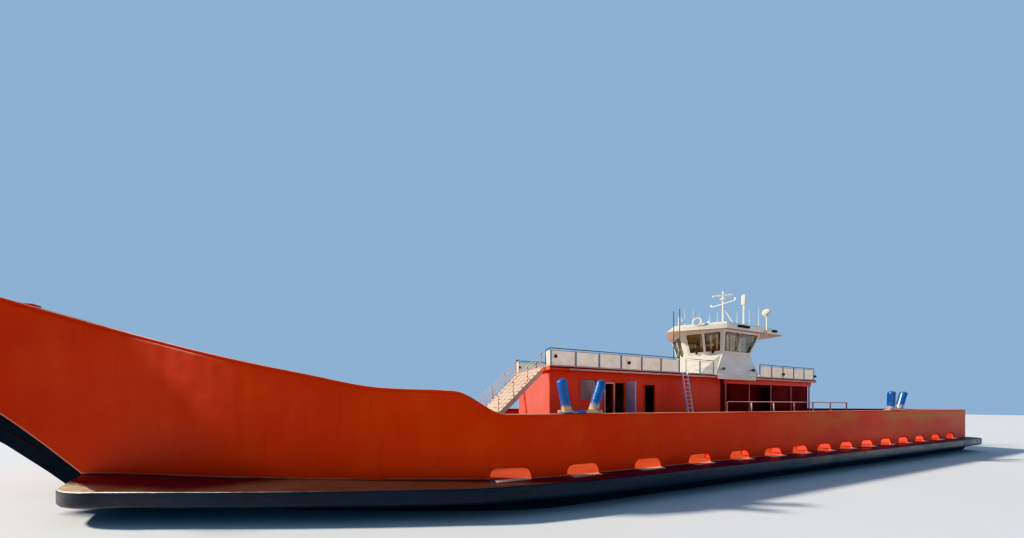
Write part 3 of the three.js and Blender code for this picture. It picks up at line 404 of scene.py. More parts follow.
# %% Pale enamels
def pale_enamel(name, base, aged, rough=0.35, rust=0.5):
    look = Finish(name, base)
    look.coat(look.marks((1600, 1600, 900), 0.35, 0.7), aged)
    streaks = look.both(look.marks((70, 70, 900), 0.55, 0.8, offset=3.0), 0.35)
    look.coat(streaks, "#8f877a")
    look.coat(look.marks((60, 60, 420), 0.7, 0.78, offset=5.0), "#a0602e", rust)
    peel = look.marks((12, 12, 12), 0.2, 0.8, detail=2.0)
    waves = look.marks((650, 650, 650), 0.3, 0.7, detail=2.0, offset=2.0)
    return look.done(look.between(streaks, rough, rough + 0.4), (waves, 3), (peel, 0.2))


def roof_enamel():
    """White enamel on top and on the edge; underneath, where a face looks down, a warm cream that is painted
    reflection of lit orange surfaces.
    """
    look = Finish("gloss_enamel_white_with_painted_warm_bounce", WHITE)
    # warm cream on faces that look down: painted reflected light
    look.coat(look.facing_up(-0.6, -0.8), "#e3b392")
    return look.done()


def upper_deck_finish():
    """The red of the house on edges and underneath, dull grey non-skid paint where a face looks up."""
    look = Finish("house_red_and_deck_grey", HOUSE_RED)
    walked = look.facing_up()
    look.coat(walked, "#59615e")
    dull = look.add("Math", {0: look.so_far("Roughness"), 1: look.both(walked, 0.95)}, operation="MAXIMUM")
    return look.done(dull.outputs[0])


WHITE = pale_enamel("gloss_enamel_white", "#ece7da", "#dcd5c4")
CREAM = pale_enamel("gloss_enamel_cream", "#eadbc8", "#d2b9a4", rough=0.45, rust=0.8)
PINK = pale_enamel("gloss_enamel_pink", "#e3b5a4", "#c98f7c", rough=0.45, rust=0.6)
PIPE = pale_enamel("pipe_enamel_grey_blue", "#98a3ae", "#7d8892", rough=0.38)
LADDER = pale_enamel("pipe_enamel_pale_blue", "#f0f5fa", "#d5dde6", rough=0.38)
HAND = pale_enamel("pipe_enamel_dark_teal", "#3e5055", "#2e3c40", rough=0.38)
PANEL = pale_enamel("door_enamel_grey", "#e6e9f2", "#cdd2de", rough=0.4)
ROOF_WHITE = roof_enamel()
UPPER_PAINT = upper_deck_finish()
print(WHITE.name, CREAM.name, PINK.name, PIPE.name, HAND.name, PANEL.name, ROOF_WHITE.name)

# %% [markdown]
# ## Small tools for shapes
#
# A shape here is a pair: an array of points in real metres, and a list of arrays of faces that count those
# points. Grids, tubes, blocks and turned forms are all worked out as whole arrays, and several shapes joined
# make one piece.

# %% Surfaces and closed forms from arrays
def rows(x, y, z):
    """Places (..., 3) from x, y and z, each an array or one number for all."""
    return np.stack(np.broadcast_arrays(np.asarray(x, float), y, z), axis=-1)


def grid(points, closed=False):
    """Quads over an array of points (u, v, 3), each between neighbours along u and v; closed joins the last v
    to the first."""
    index = np.arange(points[..., 0].size).reshape(points.shape[:2])
    index = np.concatenate([index, index[:, :1]], 1) if closed else index
    quads = np.stack([index[:-1, :-1], index[1:, :-1], index[1:, 1:], index[:-1, 1:]], -1)
    return points.reshape(-1, 3), [quads.reshape(-1, 4)]


def tube(points):
    """Rings of points (station, round, 3), joined round and along, and closed by a cap at both ends."""
    shape, faces = grid(points, closed=True)
    cap = np.arange(points.shape[1])
    return shape, faces + [np.stack([cap[::-1], cap + len(shape) - len(cap)])]


def rods(ends):
    """Closed rods over an array of end rings (rod, 2, round, 3): walls from ring to ring, and a cap on
    each."""
    count = ends.shape[2]
    ring = np.arange(count)
    ahead = (ring + 1) % count
    walls = np.stack([ring, ahead, ahead + count, ring + count], 1)
    caps = np.stack([ring[::-1], ring + count])
    base = 2 * count * np.arange(len(ends))[:, None, None]
    return ends.reshape(-1, 3), [(walls + base).reshape(-1, 4), (caps + base).reshape(-1, count)]


def joined(shapes):
    """One shape of many: their points follow each other, and their faces count on."""
    offsets = np.cumsum([0] + [len(points) for points, _ in shapes])
    points = np.concatenate([points for points, _ in shapes])
    return points, [face + offset for (_, faces), offset in zip(shapes, offsets) for face in faces]


def flipped(shape):
    """The same shape with its faces turned over."""
    return shape[0], [faces[:, ::-1] for faces in shape[1]]


def starboard(shape):
    """The shape mirrored to the other side: y changes sign, and the faces are turned over to point out
    again."""
    points, faces = flipped(shape)
    return points * [1, -1, 1], faces


def with_mirror(shape):
    """The shape and its mirror image on the other side, as one."""
    return joined([shape, starboard(shape)])


# %% [markdown]
# Rolled bars and pipes are straight, and the same from end to end, so many of them are worked out at once:
# two rings of points each, with walls between the rings. A bent pipe and a turned form need more rings, which
# makes them tubes.

# %% Bars, pipes and turned forms
BOX_RINGS = np.array([[(0, 0, k), (1, 0, k), (1, 1, k), (0, 1, k)] for k in (0, 1)])


def blocks(low, high):
    """Boxes between rows of low and high corners: each corner takes x, y and z from one or the other."""
    low, high = (np.atleast_2d(corner)[:, None, None] for corner in (low, high))
    return rods(low * (1 - BOX_RINGS) + high * BOX_RINGS)


def circles(axis, helper, sides):
    """Unit circles across rows of axes: cos(a) side + sin(a) other, at right angles to the axis and to each
    other."""
    side = unit(np.cross(helper, axis))
    angle = np.linspace(0, 2 * np.pi, sides, endpoint=False)[:, None]
    return side[:, None] * np.cos(angle) + np.cross(axis, side)[:, None] * np.sin(angle)


def pipes(start, end, radius, sides=10, end_radius=None):
    """Straight round bars between rows of points, with a circle of the radius across the axis at both
    ends."""
    start, end = np.broadcast_arrays(np.atleast_2d(start).astype(float), np.atleast_2d(end).astype(float))
    axis = unit(end - start)
    ring = circles(axis, np.where(np.abs(axis[:, 2:]) > 0.9, [[1.0, 0, 0]], [[0, 0, 1.0]]), sides)
    end_radius = radius if end_radius is None else end_radius
    return rods(np.stack([start[:, None] + ring * radius, end[:, None] + ring * end_radius], 1))


def bent_pipe(path, radius, sides=10):
    """A round pipe along a path (n, 3): each ring stands across the mean direction of its neighbours."""
    along = unit(np.gradient(path, axis=0))
    helper = [0, 1.0, 0] if np.abs(along[:, 2]).max() > 0.95 else [0, 0, 1.0]
    return tube(path[:, None] + circles(along, helper, sides) * radius)


def turned(profile, centre, axis="z", sides=24):
    """A turned form: rows of (radius, place along the axis), carried round the axis at the centre."""
    radius, along = np.array(profile, float).T[..., None]
    angle = np.linspace(0, 2 * np.pi, sides, endpoint=False)
    a, b = radius * np.cos(angle), radius * np.sin(angle)
    return tube(rows(*{"z": (a, b, along), "x": (along, a, b)}[axis]) + centre)


def prisms(outline, low, high, axis="y"):
    """An outline carried along an axis between rows of low and high: points (x, z) along y, or (y, z) along
    x."""
    u, v = np.array(outline, float).T
    w = np.stack([np.atleast_1d(low), np.atleast_1d(high)], 1)[..., None]
    return rods(rows(*{"y": (u, w, v), "x": (w, u, v)}[axis]))


print("a block has", len(blocks([0, 0, 0], [1, 1, 1])[0]), "points")

# %% [markdown]
# A finished piece is a mesh whose faces point out, with a finish, riding on the body that carries it. Edges
# of plate and of rolled bars are never sharp, so a small bevel catches the light on each of them. A solid
# that has the right form already goes the same way: a copy of it gets the bevel, and its faces are left as
# they are.

# %% From shape to piece
MERGE, MERGE_SOLID = 0.2, 0.05  # real millimetres within which points are one


def piece(name, shape, finish, slot, body="ship", replaces=(), bevel=0.0, angle=35, inward=None):
    """Puts a shape, or a copy of a solid's mesh, into a mesh, points its faces out, bevels its edges by so
    many real millimetres and lets it ride. inward gives a thin surface its thickness in real millimetres,
    behind its face."""
    solid = isinstance(shape, bpy.types.Mesh)
    mesh = shape.copy() if solid else bpy.data.meshes.new(name)
    mesh.name = name
    mesh.materials.clear()
    if not solid:
        mesh.from_pydata(real(shape[0]).tolist(), [], [face for group in shape[1] for face in group.tolist()])
    made = bmesh.new()
    made.from_mesh(mesh)
    bmesh.ops.remove_doubles(made, verts=made.verts, dist=(MERGE_SOLID if solid else MERGE) * MM)
    if not solid and inward is None:
        bmesh.ops.recalc_face_normals(made, faces=made.faces)
    made.to_mesh(mesh)
    made.free()
    mesh.shade_smooth()
    mesh.set_sharp_from_angle(angle=math.radians(angle))
    obj = bpy.data.objects.new(name, mesh)
    bpy.context.scene.collection.objects.link(obj)
    if inward is not None:
        thicken = obj.modifiers.new("plate", "SOLIDIFY")
        thicken.thickness = inward * MM
        thicken.offset = -1
    if bevel:
        edge = obj.modifiers.new("edges", "BEVEL")
        edge.width = bevel * MM
        edge.segments = 2
        edge.limit_method = "ANGLE"
        edge.angle_limit = math.radians(angle)
        edge.harden_normals = True
    mesh.materials.append(finish)
    if replaces:
        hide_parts(*replaces)
    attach(obj, body)
    print(f"{name}: {len(mesh.polygons)} faces")
    return obj


def both_sides(name, shape, finish, slot, replaces=None, **more):
    """The piece and its mirror image, each named for its side, as are the solids that they replace."""
    for side_name, one in (("port", shape), ("starboard", starboard(shape))):
        nodes = [f"{replaces}_{side_name}"] if replaces else []
        piece(f"{name}_{side_name}", one, finish, slot, replaces=nodes, **more)


def softened(finish, slot, width, *nodes):
    """Copies of solids with bevelled edges; a solid that is a body of its own keeps moving with it."""
    for node in nodes:
        body = node if node in frame["bodies"] else "ship"
        piece(node + "_dressed", frame["nodes"][node].data, finish, slot, body, [node], width, angle=30)


def paint(finish, *nodes):
    """Gives solids that keep their shape their finish."""
    for node in nodes:
        mesh = frame["nodes"][node].data
        mesh.materials.clear()
        mesh.materials.append(finish)


# %% [markdown]
# ## The plan of the ship
#
# Three curves give the ship its form: the half breadth of the plating, that of the rub rail, and the height
# of the bulwark's edge with its S-shaped step before the bow. Each is a short table, read by a smooth curve
# that keeps flat stretches flat.

# %% Curves of the plating, the rub rail and the sheer
BOW_TIP, STEM, FRONT_FOOT = 51.55, 46.2, 49.8
SHELL_ROWS = [(0, 9.0), (32.3, 9.0), (36.85, 7.62), (41.3, 5.63), (46.2, 3.14), (48.8, 2.52), (51.65, 2.45)]
GUARD_ROWS = [(0, 9.73), (30, 9.73), (34.5, 9.4), (36.9, 8.72), (40.2, 7.6), (43.9, 6.2)]
SHEER_ROWS = [(0, 1.88), (33.95, 1.88), (35.4, 2.56), (37.3, 2.65), (39.6, 3.1), (41.9, 3.63), (45.6, 4.66),
              (48.8, 5.62), (51.55, 6.45)]


def smooth_curve(table):
    """The curve through the rows of a table: a cubic between each two, whose slope at a row is the harmonic
    mean of the slopes of the lines on both sides, or 0 where they differ in sign."""
    xs, ys = np.array(table, float).T
    secant = np.diff(ys) / np.diff(xs)
    before, after = secant[:-1], secant[1:]
    same = before * after > 0
    middle = np.where(same, 2 * before * after / np.where(same, before + after, 1), 0)
    slope = np.concatenate([secant[:1], middle, secant[-1:]])

    def at(x):
        x = np.asarray(x, float)
        i = np.clip(np.searchsorted(xs, x, side="right") - 1, 0, len(xs) - 2)
        width = xs[i + 1] - xs[i]
        t = np.clip((x - xs[i]) / width, 0, 1)
        rise = t * t * (3 - 2 * t)
        return (ys[i] * (1 - rise) + ys[i + 1] * rise
                + width * (slope[i] * t * (1 - t) ** 2 - slope[i + 1] * t * t * (1 - t)))
    return at


shell, guard_edge, sheer = (smooth_curve(table) for table in (SHELL_ROWS, GUARD_ROWS, SHEER_ROWS))
print("half breadth at the stem:", round(float(shell(STEM)), 2), "m")

# %% [markdown]
# ## The plated sides
#
# The bulwark is 8 mm plate, stiffened inside, with openings at deck level that let water run off. Cutting
# holes in a mesh leaves ragged faces, so the plate is laid out like a real one: a strip of pillars between
# the openings, each pinched by the rounded openings beside it, and one long strake above. Both use the same
# columns, so they join without a seam.

# %% Freeing ports and the side's layout
ports = np.array([2.7, 5, 7.3, 9.5, 11.6, 13.7, 15.8, 17.8, 19.8, 21.8, 24, 26.3, 28.85, 31.5, 33.83])
PORT_HEAD = 0.34  # height of a freeing port
PORT_HALF = 0.36  # half its width at the head
PORT_KNEE, PORT_BULGE = 0.07, 0.22  # up to the knee it is wider by the bulge on each side


def port_half(height):
    """Half the width of a freeing port: even up to the knee, then a superellipse of power 2.2 in to the
    head."""
    rise = np.clip((height - PORT_KNEE) / (PORT_HEAD - PORT_KNEE), 0, 1)
    return PORT_HALF + PORT_BULGE * (1 - rise ** 2.2) ** (1 / 2.2)


LEAN_X = 40  # forward of this the columns of the side lean ahead


def side_point(t, share):
    """A place (x, z) on the side: t is the x of its column at the top edge, and share goes from the foot, 0,
    to the edge, 1. Forward of LEAN_X the columns lean ahead, and the foot follows the stem and the cheek of
    the ramp's pin."""
    foot_x = np.where(t < LEAN_X, t, LEAN_X + (t - LEAN_X) * (FRONT_FOOT - LEAN_X) / (BOW_TIP - LEAN_X))
    foot_z = DECK + np.interp(foot_x, [STEM, 49.3, 49.32, FRONT_FOOT], [0, 2.17, 1.92, 1.92])
    edge_z = DECK + sheer(t)
    return foot_x + (t - foot_x) * share, foot_z + (edge_z - foot_z) * share


def side_surface(t, rise):
    """Places on the side at columns t and heights rise above the foot."""
    x, z = side_point(t, rise / (DECK + sheer(t) - side_point(t, 0.0)[1]))
    return rows(x, shell(x), z)


def side_columns():
    """The columns of pillars and port heads in turn: straight counts between the edges of the openings."""
    edges = np.concatenate([[0], np.stack([ports - PORT_HALF, ports + PORT_HALF], 1).ravel(), [BOW_TIP]])
    counts = np.maximum(4, np.ceil(np.diff(edges) / 0.16).astype(int))
    return [np.linspace(a, b, n + 1) for a, b, n in zip(edges[:-1], edges[1:], counts)]


def side_plate():
    """The strake above the openings, and a pillar between each two: its rows are pinched from both sides."""
    columns = side_columns()
    upper = np.concatenate([column[:-1] for column in columns] + [[BOW_TIP]])[:, None]
    height = DECK + sheer(upper) - side_point(upper, 0.0)[1]
    shapes = [grid(side_surface(upper, PORT_HEAD + (height - PORT_HEAD) * np.linspace(0, 1, 26)))]
    levels = np.linspace(0.0, PORT_HEAD, 13)
    for i, column in enumerate(columns[::2]):
        pinch = port_half(levels) - PORT_HALF
        left = column[0] + (pinch if i > 0 else 0 * pinch)
        right = column[-1] - (pinch if i < len(ports) else 0 * pinch)
        across = (column - column[0]) / (column[-1] - column[0])
        shapes.append(grid(side_surface(left + (right - left) * across[:, None], levels)))
    return flipped(joined(shapes))


side = side_plate()
print("plate of one side:", len(side[0]), "points")

# %% [markdown]
# The cap is a flat bar welded on the edge. It is carried along the edge as a rounded section. Stays stand
# behind each pillar, and two bars run along the inside of the high bow, because such a wide plate would shake
# in a seaway.

# %% Cap, stays, stringers and bow post
def rounded_section(width, depth, radius, steps=4):
    """A rectangle with quarter circles at its corners, as rows (u, v) that run round it once."""
    u, v = width / 2 - radius, depth / 2 - radius
    corner = np.linspace(0, np.pi / 2, steps + 1)
    turns = [corner + k * np.pi / 2 for k in range(4)]
    return np.concatenate([np.stack([a + radius * np.cos(turn), b + radius * np.sin(turn)], 1)
                           for turn, (a, b) in zip(turns, ((u, v), (-u, v), (-u, -v), (u, -v)))])


def along_side(t, section, share=1.0, outward=0.0):
    """A section (across, up) carried along the side at a share of its height; across is counted outward."""
    x, z = side_point(t[:, None], share)
    return tube(rows(x, shell(x) + outward + section[:, 0], z + section[:, 1]))


def side_fittings():
    """The cap, two stringers in the bow, and stays: each is a web across the plate with a flange on its inner
    edge, and reaches in by 0.5 (1 - share) ** 0.8 + 0.1 m at its share of the height."""
    spans = ((0, 33.6, 120), (33.7, 36.4, 44), (36.6, BOW_TIP, 90))  # low and high x, and how many stations
    dense = np.concatenate([np.linspace(*span) for span in spans])
    shapes = [along_side(dense, rounded_section(0.3, 0.07, 0.025), outward=-0.13)]
    forward, bar = np.linspace(38.5, 49.5, 60), rounded_section(0.16, 0.03, 0.01)
    shapes += [along_side(forward, bar, share, outward=-0.1) for share in (0.35, 0.68)]
    pillars = np.concatenate([(ports[1:] + ports[:-1]) / 2, [36, 37.4], np.arange(38.8, 49.3, 1.3)])
    share = np.linspace(0.02, 0.96, 8)[:, None]
    corners = np.array([-1, 1, 1, -1])
    for t in pillars:
        x, z = side_point(t, share)
        y = shell(x) - 0.03
        edge = y - 0.5 * (1 - share) ** 0.8 - 0.1
        for half, near, far in ((0.012, y, edge), (0.05, edge, edge - 0.015)):
            shapes.append(tube(rows(x + half * corners, np.hstack([near, near, far, far]), z)))
    return joined(shapes)


def bow_post():
    """The box post at the front edge: a section 0.34 m wide and 0.42 m long that rises with the leaning
    edge."""
    x, z = side_point(BOW_TIP, np.linspace(0, 1, 20)[:, None])
    section = rounded_section(0.42, 0.34, 0.03)
    return tube(rows(x + section[:, 0] - 0.21, shell(x) - 0.17 + section[:, 1], z - 0.012))


both_sides("side_plating", side, SIDE_ORANGE, "orange_paint", "bulwark", inward=45)
both_sides("side_fittings", joined([side_fittings(), bow_post()]), CAP_ORANGE, "orange_paint")

# %% [markdown]
# ## The rub rail
#
# A heavy fendering shelf runs all round the ship at deck level. Its face is half a metre high with a rolled
# lower edge; at the bow it widens, its underside slopes back to the hull, and it ends in a rounded nose. It
# is one section, carried along two paired lines: one on the plating, one on the rail's own face.

# %% Rub rail
NOSE_CURVE = np.array([(43.9, 6.2), (44.85, 5.95), (45.22, 5.3)])  # start, pull and end of its rounding
RAIL_FOOT, SHELF = DECK - 0.45, 0.3  # height of its underside, and how far that runs level


def rail_lines():
    """The outer line, on the face, and the inner line, on the plating, as paired rows (x, y) from the stern
    to the stem. The nose is a quadratic Bezier curve: start, pull and end weighed (1-t)^2, 2t(1-t), t^2."""
    x = np.concatenate([np.linspace(0.6, 30, 60), np.linspace(30.3, 43.9, 90)])
    t = np.linspace(0, 1, 18)[1:, None]
    nose = (1 - t) ** 2 * NOSE_CURVE[0] + 2 * t * (1 - t) * NOSE_CURVE[1] + t ** 2 * NOSE_CURVE[2]
    front = NOSE_CURVE[2] + np.linspace(0, 1, 12)[1:, None] * ([46.2, 3.2] - NOSE_CURVE[2])
    quarter = np.linspace(0, np.pi / 2, 12)[1:-1, None]
    corner = np.hstack([0.6 - 0.95 * np.cos(quarter), 9.0 + 0.73 * np.sin(quarter)])
    stern = np.linspace(2, 9, 12)
    straight = np.stack([x, guard_edge(x)], 1)
    outer = np.concatenate([[(-0.35, y) for y in stern], corner, straight, nose, front])
    inner_x = np.concatenate([0 * stern, np.clip(corner[:, 0], 0, None),
                              np.interp(x, [0.6, 40, 43.9], [0.6, 40, 43.2]),
                              43.2 + 1.8 * t[:, 0], np.linspace(45.0, 46.2, 12)[1:]])
    inner = np.stack([inner_x, shell(inner_x)], 1)
    inner[:12, 1] = stern
    return outer, inner


def rub_rail():
    """Section points are (distance in from the face, height); at each station they are laid from the outer
    line towards the inner one."""
    outer, inner = rail_lines()
    width = np.linalg.norm(outer - inner, axis=1)[:, None]
    zero = 0 * width
    slope = 0.4 * np.interp(outer[:, :1], [30.5, 32.5], [0, 1])
    turn = np.linspace(0, np.pi / 2, 6)
    top = zero + 0.05 * (1 - np.sin(turn)), zero + DECK - 0.05 * (1 - np.cos(turn))
    low = zero + 0.13 * (1 - np.cos(turn)), zero + DECK - 0.32 - 0.13 * np.sin(turn)
    inward = np.hstack([width, top[0], low[0], np.minimum(SHELF, width * 0.6), width])
    back = RAIL_FOOT - slope * np.maximum(width - SHELF, 0)
    z = np.hstack([zero + DECK, top[1], low[1], zero + RAIL_FOOT, back])
    share = np.clip(inward / width, 0, 1)[..., None]
    plan = outer[:, None] + (inner - outer)[:, None] * share
    return tube(rows(plan[..., 0], plan[..., 1], z))


both_sides("rub_rail", rub_rail(), NOSE, "black_paint", "guard")

# %% [markdown]
# Before each freeing port a strip of flat bar lies on the rail and leads the water over the edge. Its paint
# is washed off to pale primer.

# %% Lips before the ports
lip_y = shell(ports) + 0.012
lips = blocks(rows(ports - 0.55, lip_y, DECK + 0.001), rows(ports + 0.5, lip_y + 0.24, DECK + 0.03))
both_sides("port_lips", lips, PINK, "black_paint", bevel=6)

# %% [markdown]
# ## The finishes of the upper works
#
# The hull is one plate body, but its sides are black enamel and its decks carry the non-skid paint, so one
# finish tells them apart by the height and by which way a face looks. Bitts are gloss blue, and ropes have
# rubbed their necks to bare sand-coloured primer. Glass lets the brown inside of the wheelhouse show, with a
# grey-green tint.

# %% Hull, bitts, glass, cloth and small metals
def hull_finish():
    """Deck paint where a face looks up at deck height, black enamel with long scrapes everywhere else."""
    look = Finish("hull_enamel_and_deck_paint", CAR_DECK)
    side_colour = look.painted(look.marks((1500, 1500, 500), 0.35, 0.75), "#0f1114", "#1b1d22")
    scrape = look.both(look.marks((700, 700, 24), 0.62, 0.7, offset=4.0), 0.4)
    side_colour = look.painted(scrape, side_colour, "#46423e")
    deck = look.both(look.facing_up(), look.height(DECK - 0.1, DECK - 0.05))
    look.colour = look.painted(deck, side_colour, look.colour)
    return look.done()


def bitt_enamel():
    """Blue enamel, worn to sandy primer in patches at the saddle: the mask is 1 below a height, times a
    noise."""
    look = Finish("gloss_enamel_blue", "#1a5eaa", {"Coat Weight": 0.4})
    look.coat(look.marks((300, 300, 300), 0.35, 0.7), "#1d4c8c")
    worn = look.marks((240, 240, 60), 0.5, 0.62, offset=6.0)
    look.coat(worn, "#2c4a80", 0.5)
    low_down = look.height(DECK + 2.3, DECK + 2.05)
    look.coat(look.both(low_down, look.marks((420, 420, 200), 0.42, 0.52, offset=9.0)), "#c9a572")
    look.coat(look.marks((60, 60, 160), 0.68, 0.75, offset=3.0), "#6a3a20")
    peel = look.marks((16, 16, 16), 0.2, 0.8, detail=2.0)
    return look.done(look.between(worn, 0.22, 0.5), (peel, 0.4))


def glass(name, tint, clear):
    """Window glass with a film of salt: clear is how much light goes through, the rest is dark tint."""
    look = Finish(name, tint, {"Transmission Weight": clear})
    film = look.marks((500, 500, 900), 0.45, 0.8)
    look.coat(film, "#c9c4b4", 0.3)
    return look.done(look.between(film, 0.03, 0.15), (film, 0.3))


def cast(name, bright, dark, rough, metallic=1.0):
    """Cast metal or moulded rubber, spotted by weather, with a fine grain from its mould."""
    look = Finish(name, bright, {"Metallic": metallic})
    spots = look.marks((120, 120, 120), 0.35, 0.7)
    look.coat(spots, dark)
    grain = look.marks((10, 10, 10), 0.2, 0.8, detail=3.0)
    return look.done(look.between(spots, rough, rough + 0.2), (grain, 0.3))


def cloth(name, fresh, stained, through, glow):
    """Woven cloth: through is the share of light that it lets shine through from behind, and glow is painted
    light, an emission in the cloth's own colour that stands in for the light it would pass on from all the
    bright things around that a plain floor and sky leave out. The weave is drawn at 9 mm, where real threads
    are under 1 mm, because thread would be lost between two pixels."""
    look = Finish(name, fresh, {"Emission Strength": glow})
    stain = look.marks((500, 500, 500), 0.4, 0.75)
    look.coat(stain, stained)
    weave = look.marks((9, 9, 9), 0.3, 0.7, detail=2.0)
    # the cloth glows in its own colour: painted light
    look.tree.links.new(look.colour, look.shader.inputs["Emission Color"])
    behind = look.add("BsdfTranslucent", {"Color": look.colour})
    mix = look.add("MixShader", {0: through, 1: look.shader.outputs[0], 2: behind.outputs[0]})
    look.tree.links.new(mix.outputs[0], look.tree.nodes["Material Output"].inputs["Surface"])
    return look.done(look.between(stain, 0.8, 0.9), (weave, 0.8))


HULL = hull_finish()
BLUE = bitt_enamel()
CLEAR = glass("tinted_window_glass", "#c2bda8", 0.84)
DARK_GLASS = glass("house_window_glass", "#a08c82", 0.1)
LENS_GLASS = glass("lamp_lens", "#6e6c66", 0.3)
BRONZE = cast("cast_bronze", "#b08a4c", "#6f5a34", 0.28)
RUBBER = cast("black_rubber", "#141414", "#1f1e1d", 0.6, metallic=0.0)
LINING = pale_enamel("cabin_lining_brown", "#8b7d64", "#6e6049", rough=0.5, rust=0.0)
# curtains and sail cloth carry a painted glow, the curtains a strong one
CURTAIN = cloth("curtain_cloth_cream", "#e4dfd0", "#bdb29b", 0.3, 0.5)
CANVAS = cloth("sail_cloth_cream", "#f2eadb", "#e2d6c2", 0.15, 0.24)
paint(HULL, "hull")
paint(BRONZE, "propeller_port", "propeller_starboard")
paint(BLACK, "shaft_bracket_port", "shaft_bracket_starboard", "rudder_port", "rudder_starboard")
paint(CLEAR, "wheelhouse_glass")
paint(WALK_DECK, "wheelhouse_floor")
print(HULL.name, BLUE.name, CLEAR.name)

# %% [markdown]
# ## Plates that keep the form of their solids
#
# Welded boxes such as the trunk, the casings and the walls of the houses have the right form already. Their
# edges are folded or ground on the real ferry, so each is copied and given a small rounded edge that catches
# the light.

# %% Softened plates
softened(DARK_RED, "dark_red_paint", 15, "trunk", "trunk_steps", "aft_casing")
softened(ORANGE, "orange_paint", 8, "bulwark_stern", "bow_ramp")
softened(HOUSE_RED, "orange_paint", 8,
         "house_wall_port", "house_wall_starboard", "house_wall_front", "house_wall_aft")
softened(WHITE, "white_paint", 10, "wheelhouse_base", "wheelhouse_windows", "wheelhouse_aft_wall")
softened(UPPER_PAINT, "orange_paint", 10, "upper_deck")
softened(ROOF_WHITE, "white_paint", 10, "wheelhouse_roof")
softened(LADDER, "white_paint", 5, "side_ladder_port", "side_ladder_starboard")
softened(WHITE, "white_paint", 5, "wheelhouse_door")
softened(PIPE, "rail_paint", 5, "wheelhouse_steps")
softened(PANEL, "white_paint", 5, "door_port", "door_starboard", "door_aft")

# %% [markdown]
# ## Windows and doors of the deckhouse
#
# A cabin window is a pane in a cast frame, bolted on. Open passages are framed too, and the forward one is
# cream; the doorway is left plain, because its leaf closes flat over it. Inside, thin brown partitions part
# the toilets and the stores from the saloon, so that no daylight shows straight through.

# %% Frames, panes and partitions
HOUSE = 2.2  # half breadth of the deckhouse
PROUD = HOUSE + 0.0008  # a frame's back, just off the wall
SEAM = 0.001  # between bars that butt, so that each keeps its own edges
WINDOW = (25.86, 27.0, DECK + 2.5, DECK + 3.72)  # low and high x, low and high z
PASSAGE_FORWARD = (24.62, 25.22, TRUNK + 0.2, DECK + 3.49)
PASSAGE_AFT = (21.3, 22.15, TRUNK + 0.2, DECK + 3.49)


def frame_bars(x0, x1, z0, z1, y1, width):
    """Four bars around an opening: two upright ones, and two lying ones between them."""
    low = [(x0 - width, z0 - width), (x1, z0 - width), (x0 + SEAM, z0 - width), (x0 + SEAM, z1)]
    high = [(x0, z1 + width), (x1 + width, z1 + width), (x1 - SEAM, z0), (x1 - SEAM, z1 + width)]
    return blocks([(x, PROUD, z) for x, z in low], [(x, y1, z) for x, z in high])


x0, x1, z0, z1 = WINDOW
pane = blocks((x0 + SEAM, HOUSE - 0.06, z0 + SEAM), (x1 - SEAM, HOUSE - 0.045, z1 - SEAM))
frames = joined([frame_bars(*opening, HOUSE + 0.035, 0.06) for opening in (WINDOW, PASSAGE_AFT)])
both_sides("house_frames", frames, HOUSE_RED, "orange_paint", bevel=6)
both_sides("house_entry", frame_bars(*PASSAGE_FORWARD, HOUSE + 0.04, 0.08), CREAM, "white_paint", bevel=6)
both_sides("house_pane", pane, DARK_GLASS, "glass")
ceiling = box_of("upper_deck")[0][2] - 0.02
start, end, half = np.array([(15.4, 28.6, 0.03), (22.9, 22.95, 2.0), (25.5, 25.55, 2.0)]).T
piece("house_partitions", blocks(rows(start, -half, TRUNK + 0.01), rows(end, half, ceiling)), LINING,
      "dark_red_paint", bevel=4)


def door_frame(node):
    """A cream border on both faces of a leaf that stands across the ship, worked out from the leaf's box."""
    low, high = box_of(node)
    leaf_x = (low[0] + high[0]) / 2
    inner, outer = sorted((abs(low[1]), abs(high[1])))
    bottom, top = low[2] + 0.001, high[2] - 0.001
    bars = [(inner + 0.05, inner + 0.16, bottom, top), (outer - 0.11, outer - 0.001, bottom, top)]
    bars += [(inner + 0.16 + SEAM, outer - 0.11 - SEAM, z, z + 0.11) for z in (bottom, top - 0.11)]
    faces = [blocks([(x, a, c) for a, _, c, _ in bars], [(x + 0.008, b, d) for _, b, _, d in bars])
             for x in (leaf_x - 0.034, leaf_x + 0.026)]
    return joined(faces) if low[1] + high[1] > 0 else starboard(joined(faces))


for node in ("door_port", "door_starboard"):
    piece(f"{node}_frame", door_frame(node), CREAM, "white_paint", body=node, bevel=3)

# %% [markdown]
# ## The edge of the upper deck
#
# Along the edge runs a pink toe line, under it a dark strip, partly oxide-red paint and partly painted shade
# under the edge, and below that a pale ledge that carries the awning. Beside the wheelhouse its side plates
# run down over this edge.

# %% Toe line, ledge and skirts
deck_low, deck_high = box_of("upper_deck")
EDGE = deck_high[1]
WALL_FORWARD, WALL_AFT = 16.2, 11.7
TOE_LOW, TOE_HIGH = UPPER - 0.03, UPPER + 0.045


def deck_edge(low, high, out, short=0.0):
    """A strip outside the edge beam from a low to a high z, along both stretches beside the wheelhouse; it
    stands out so far, and ends so much short of the front."""
    stretches = np.array([(deck_low[0], WALL_AFT), (WALL_FORWARD, deck_high[0] - short)])
    return blocks(rows(stretches[:, 0], EDGE + 0.001, low), rows(stretches[:, 1], EDGE + out, high))


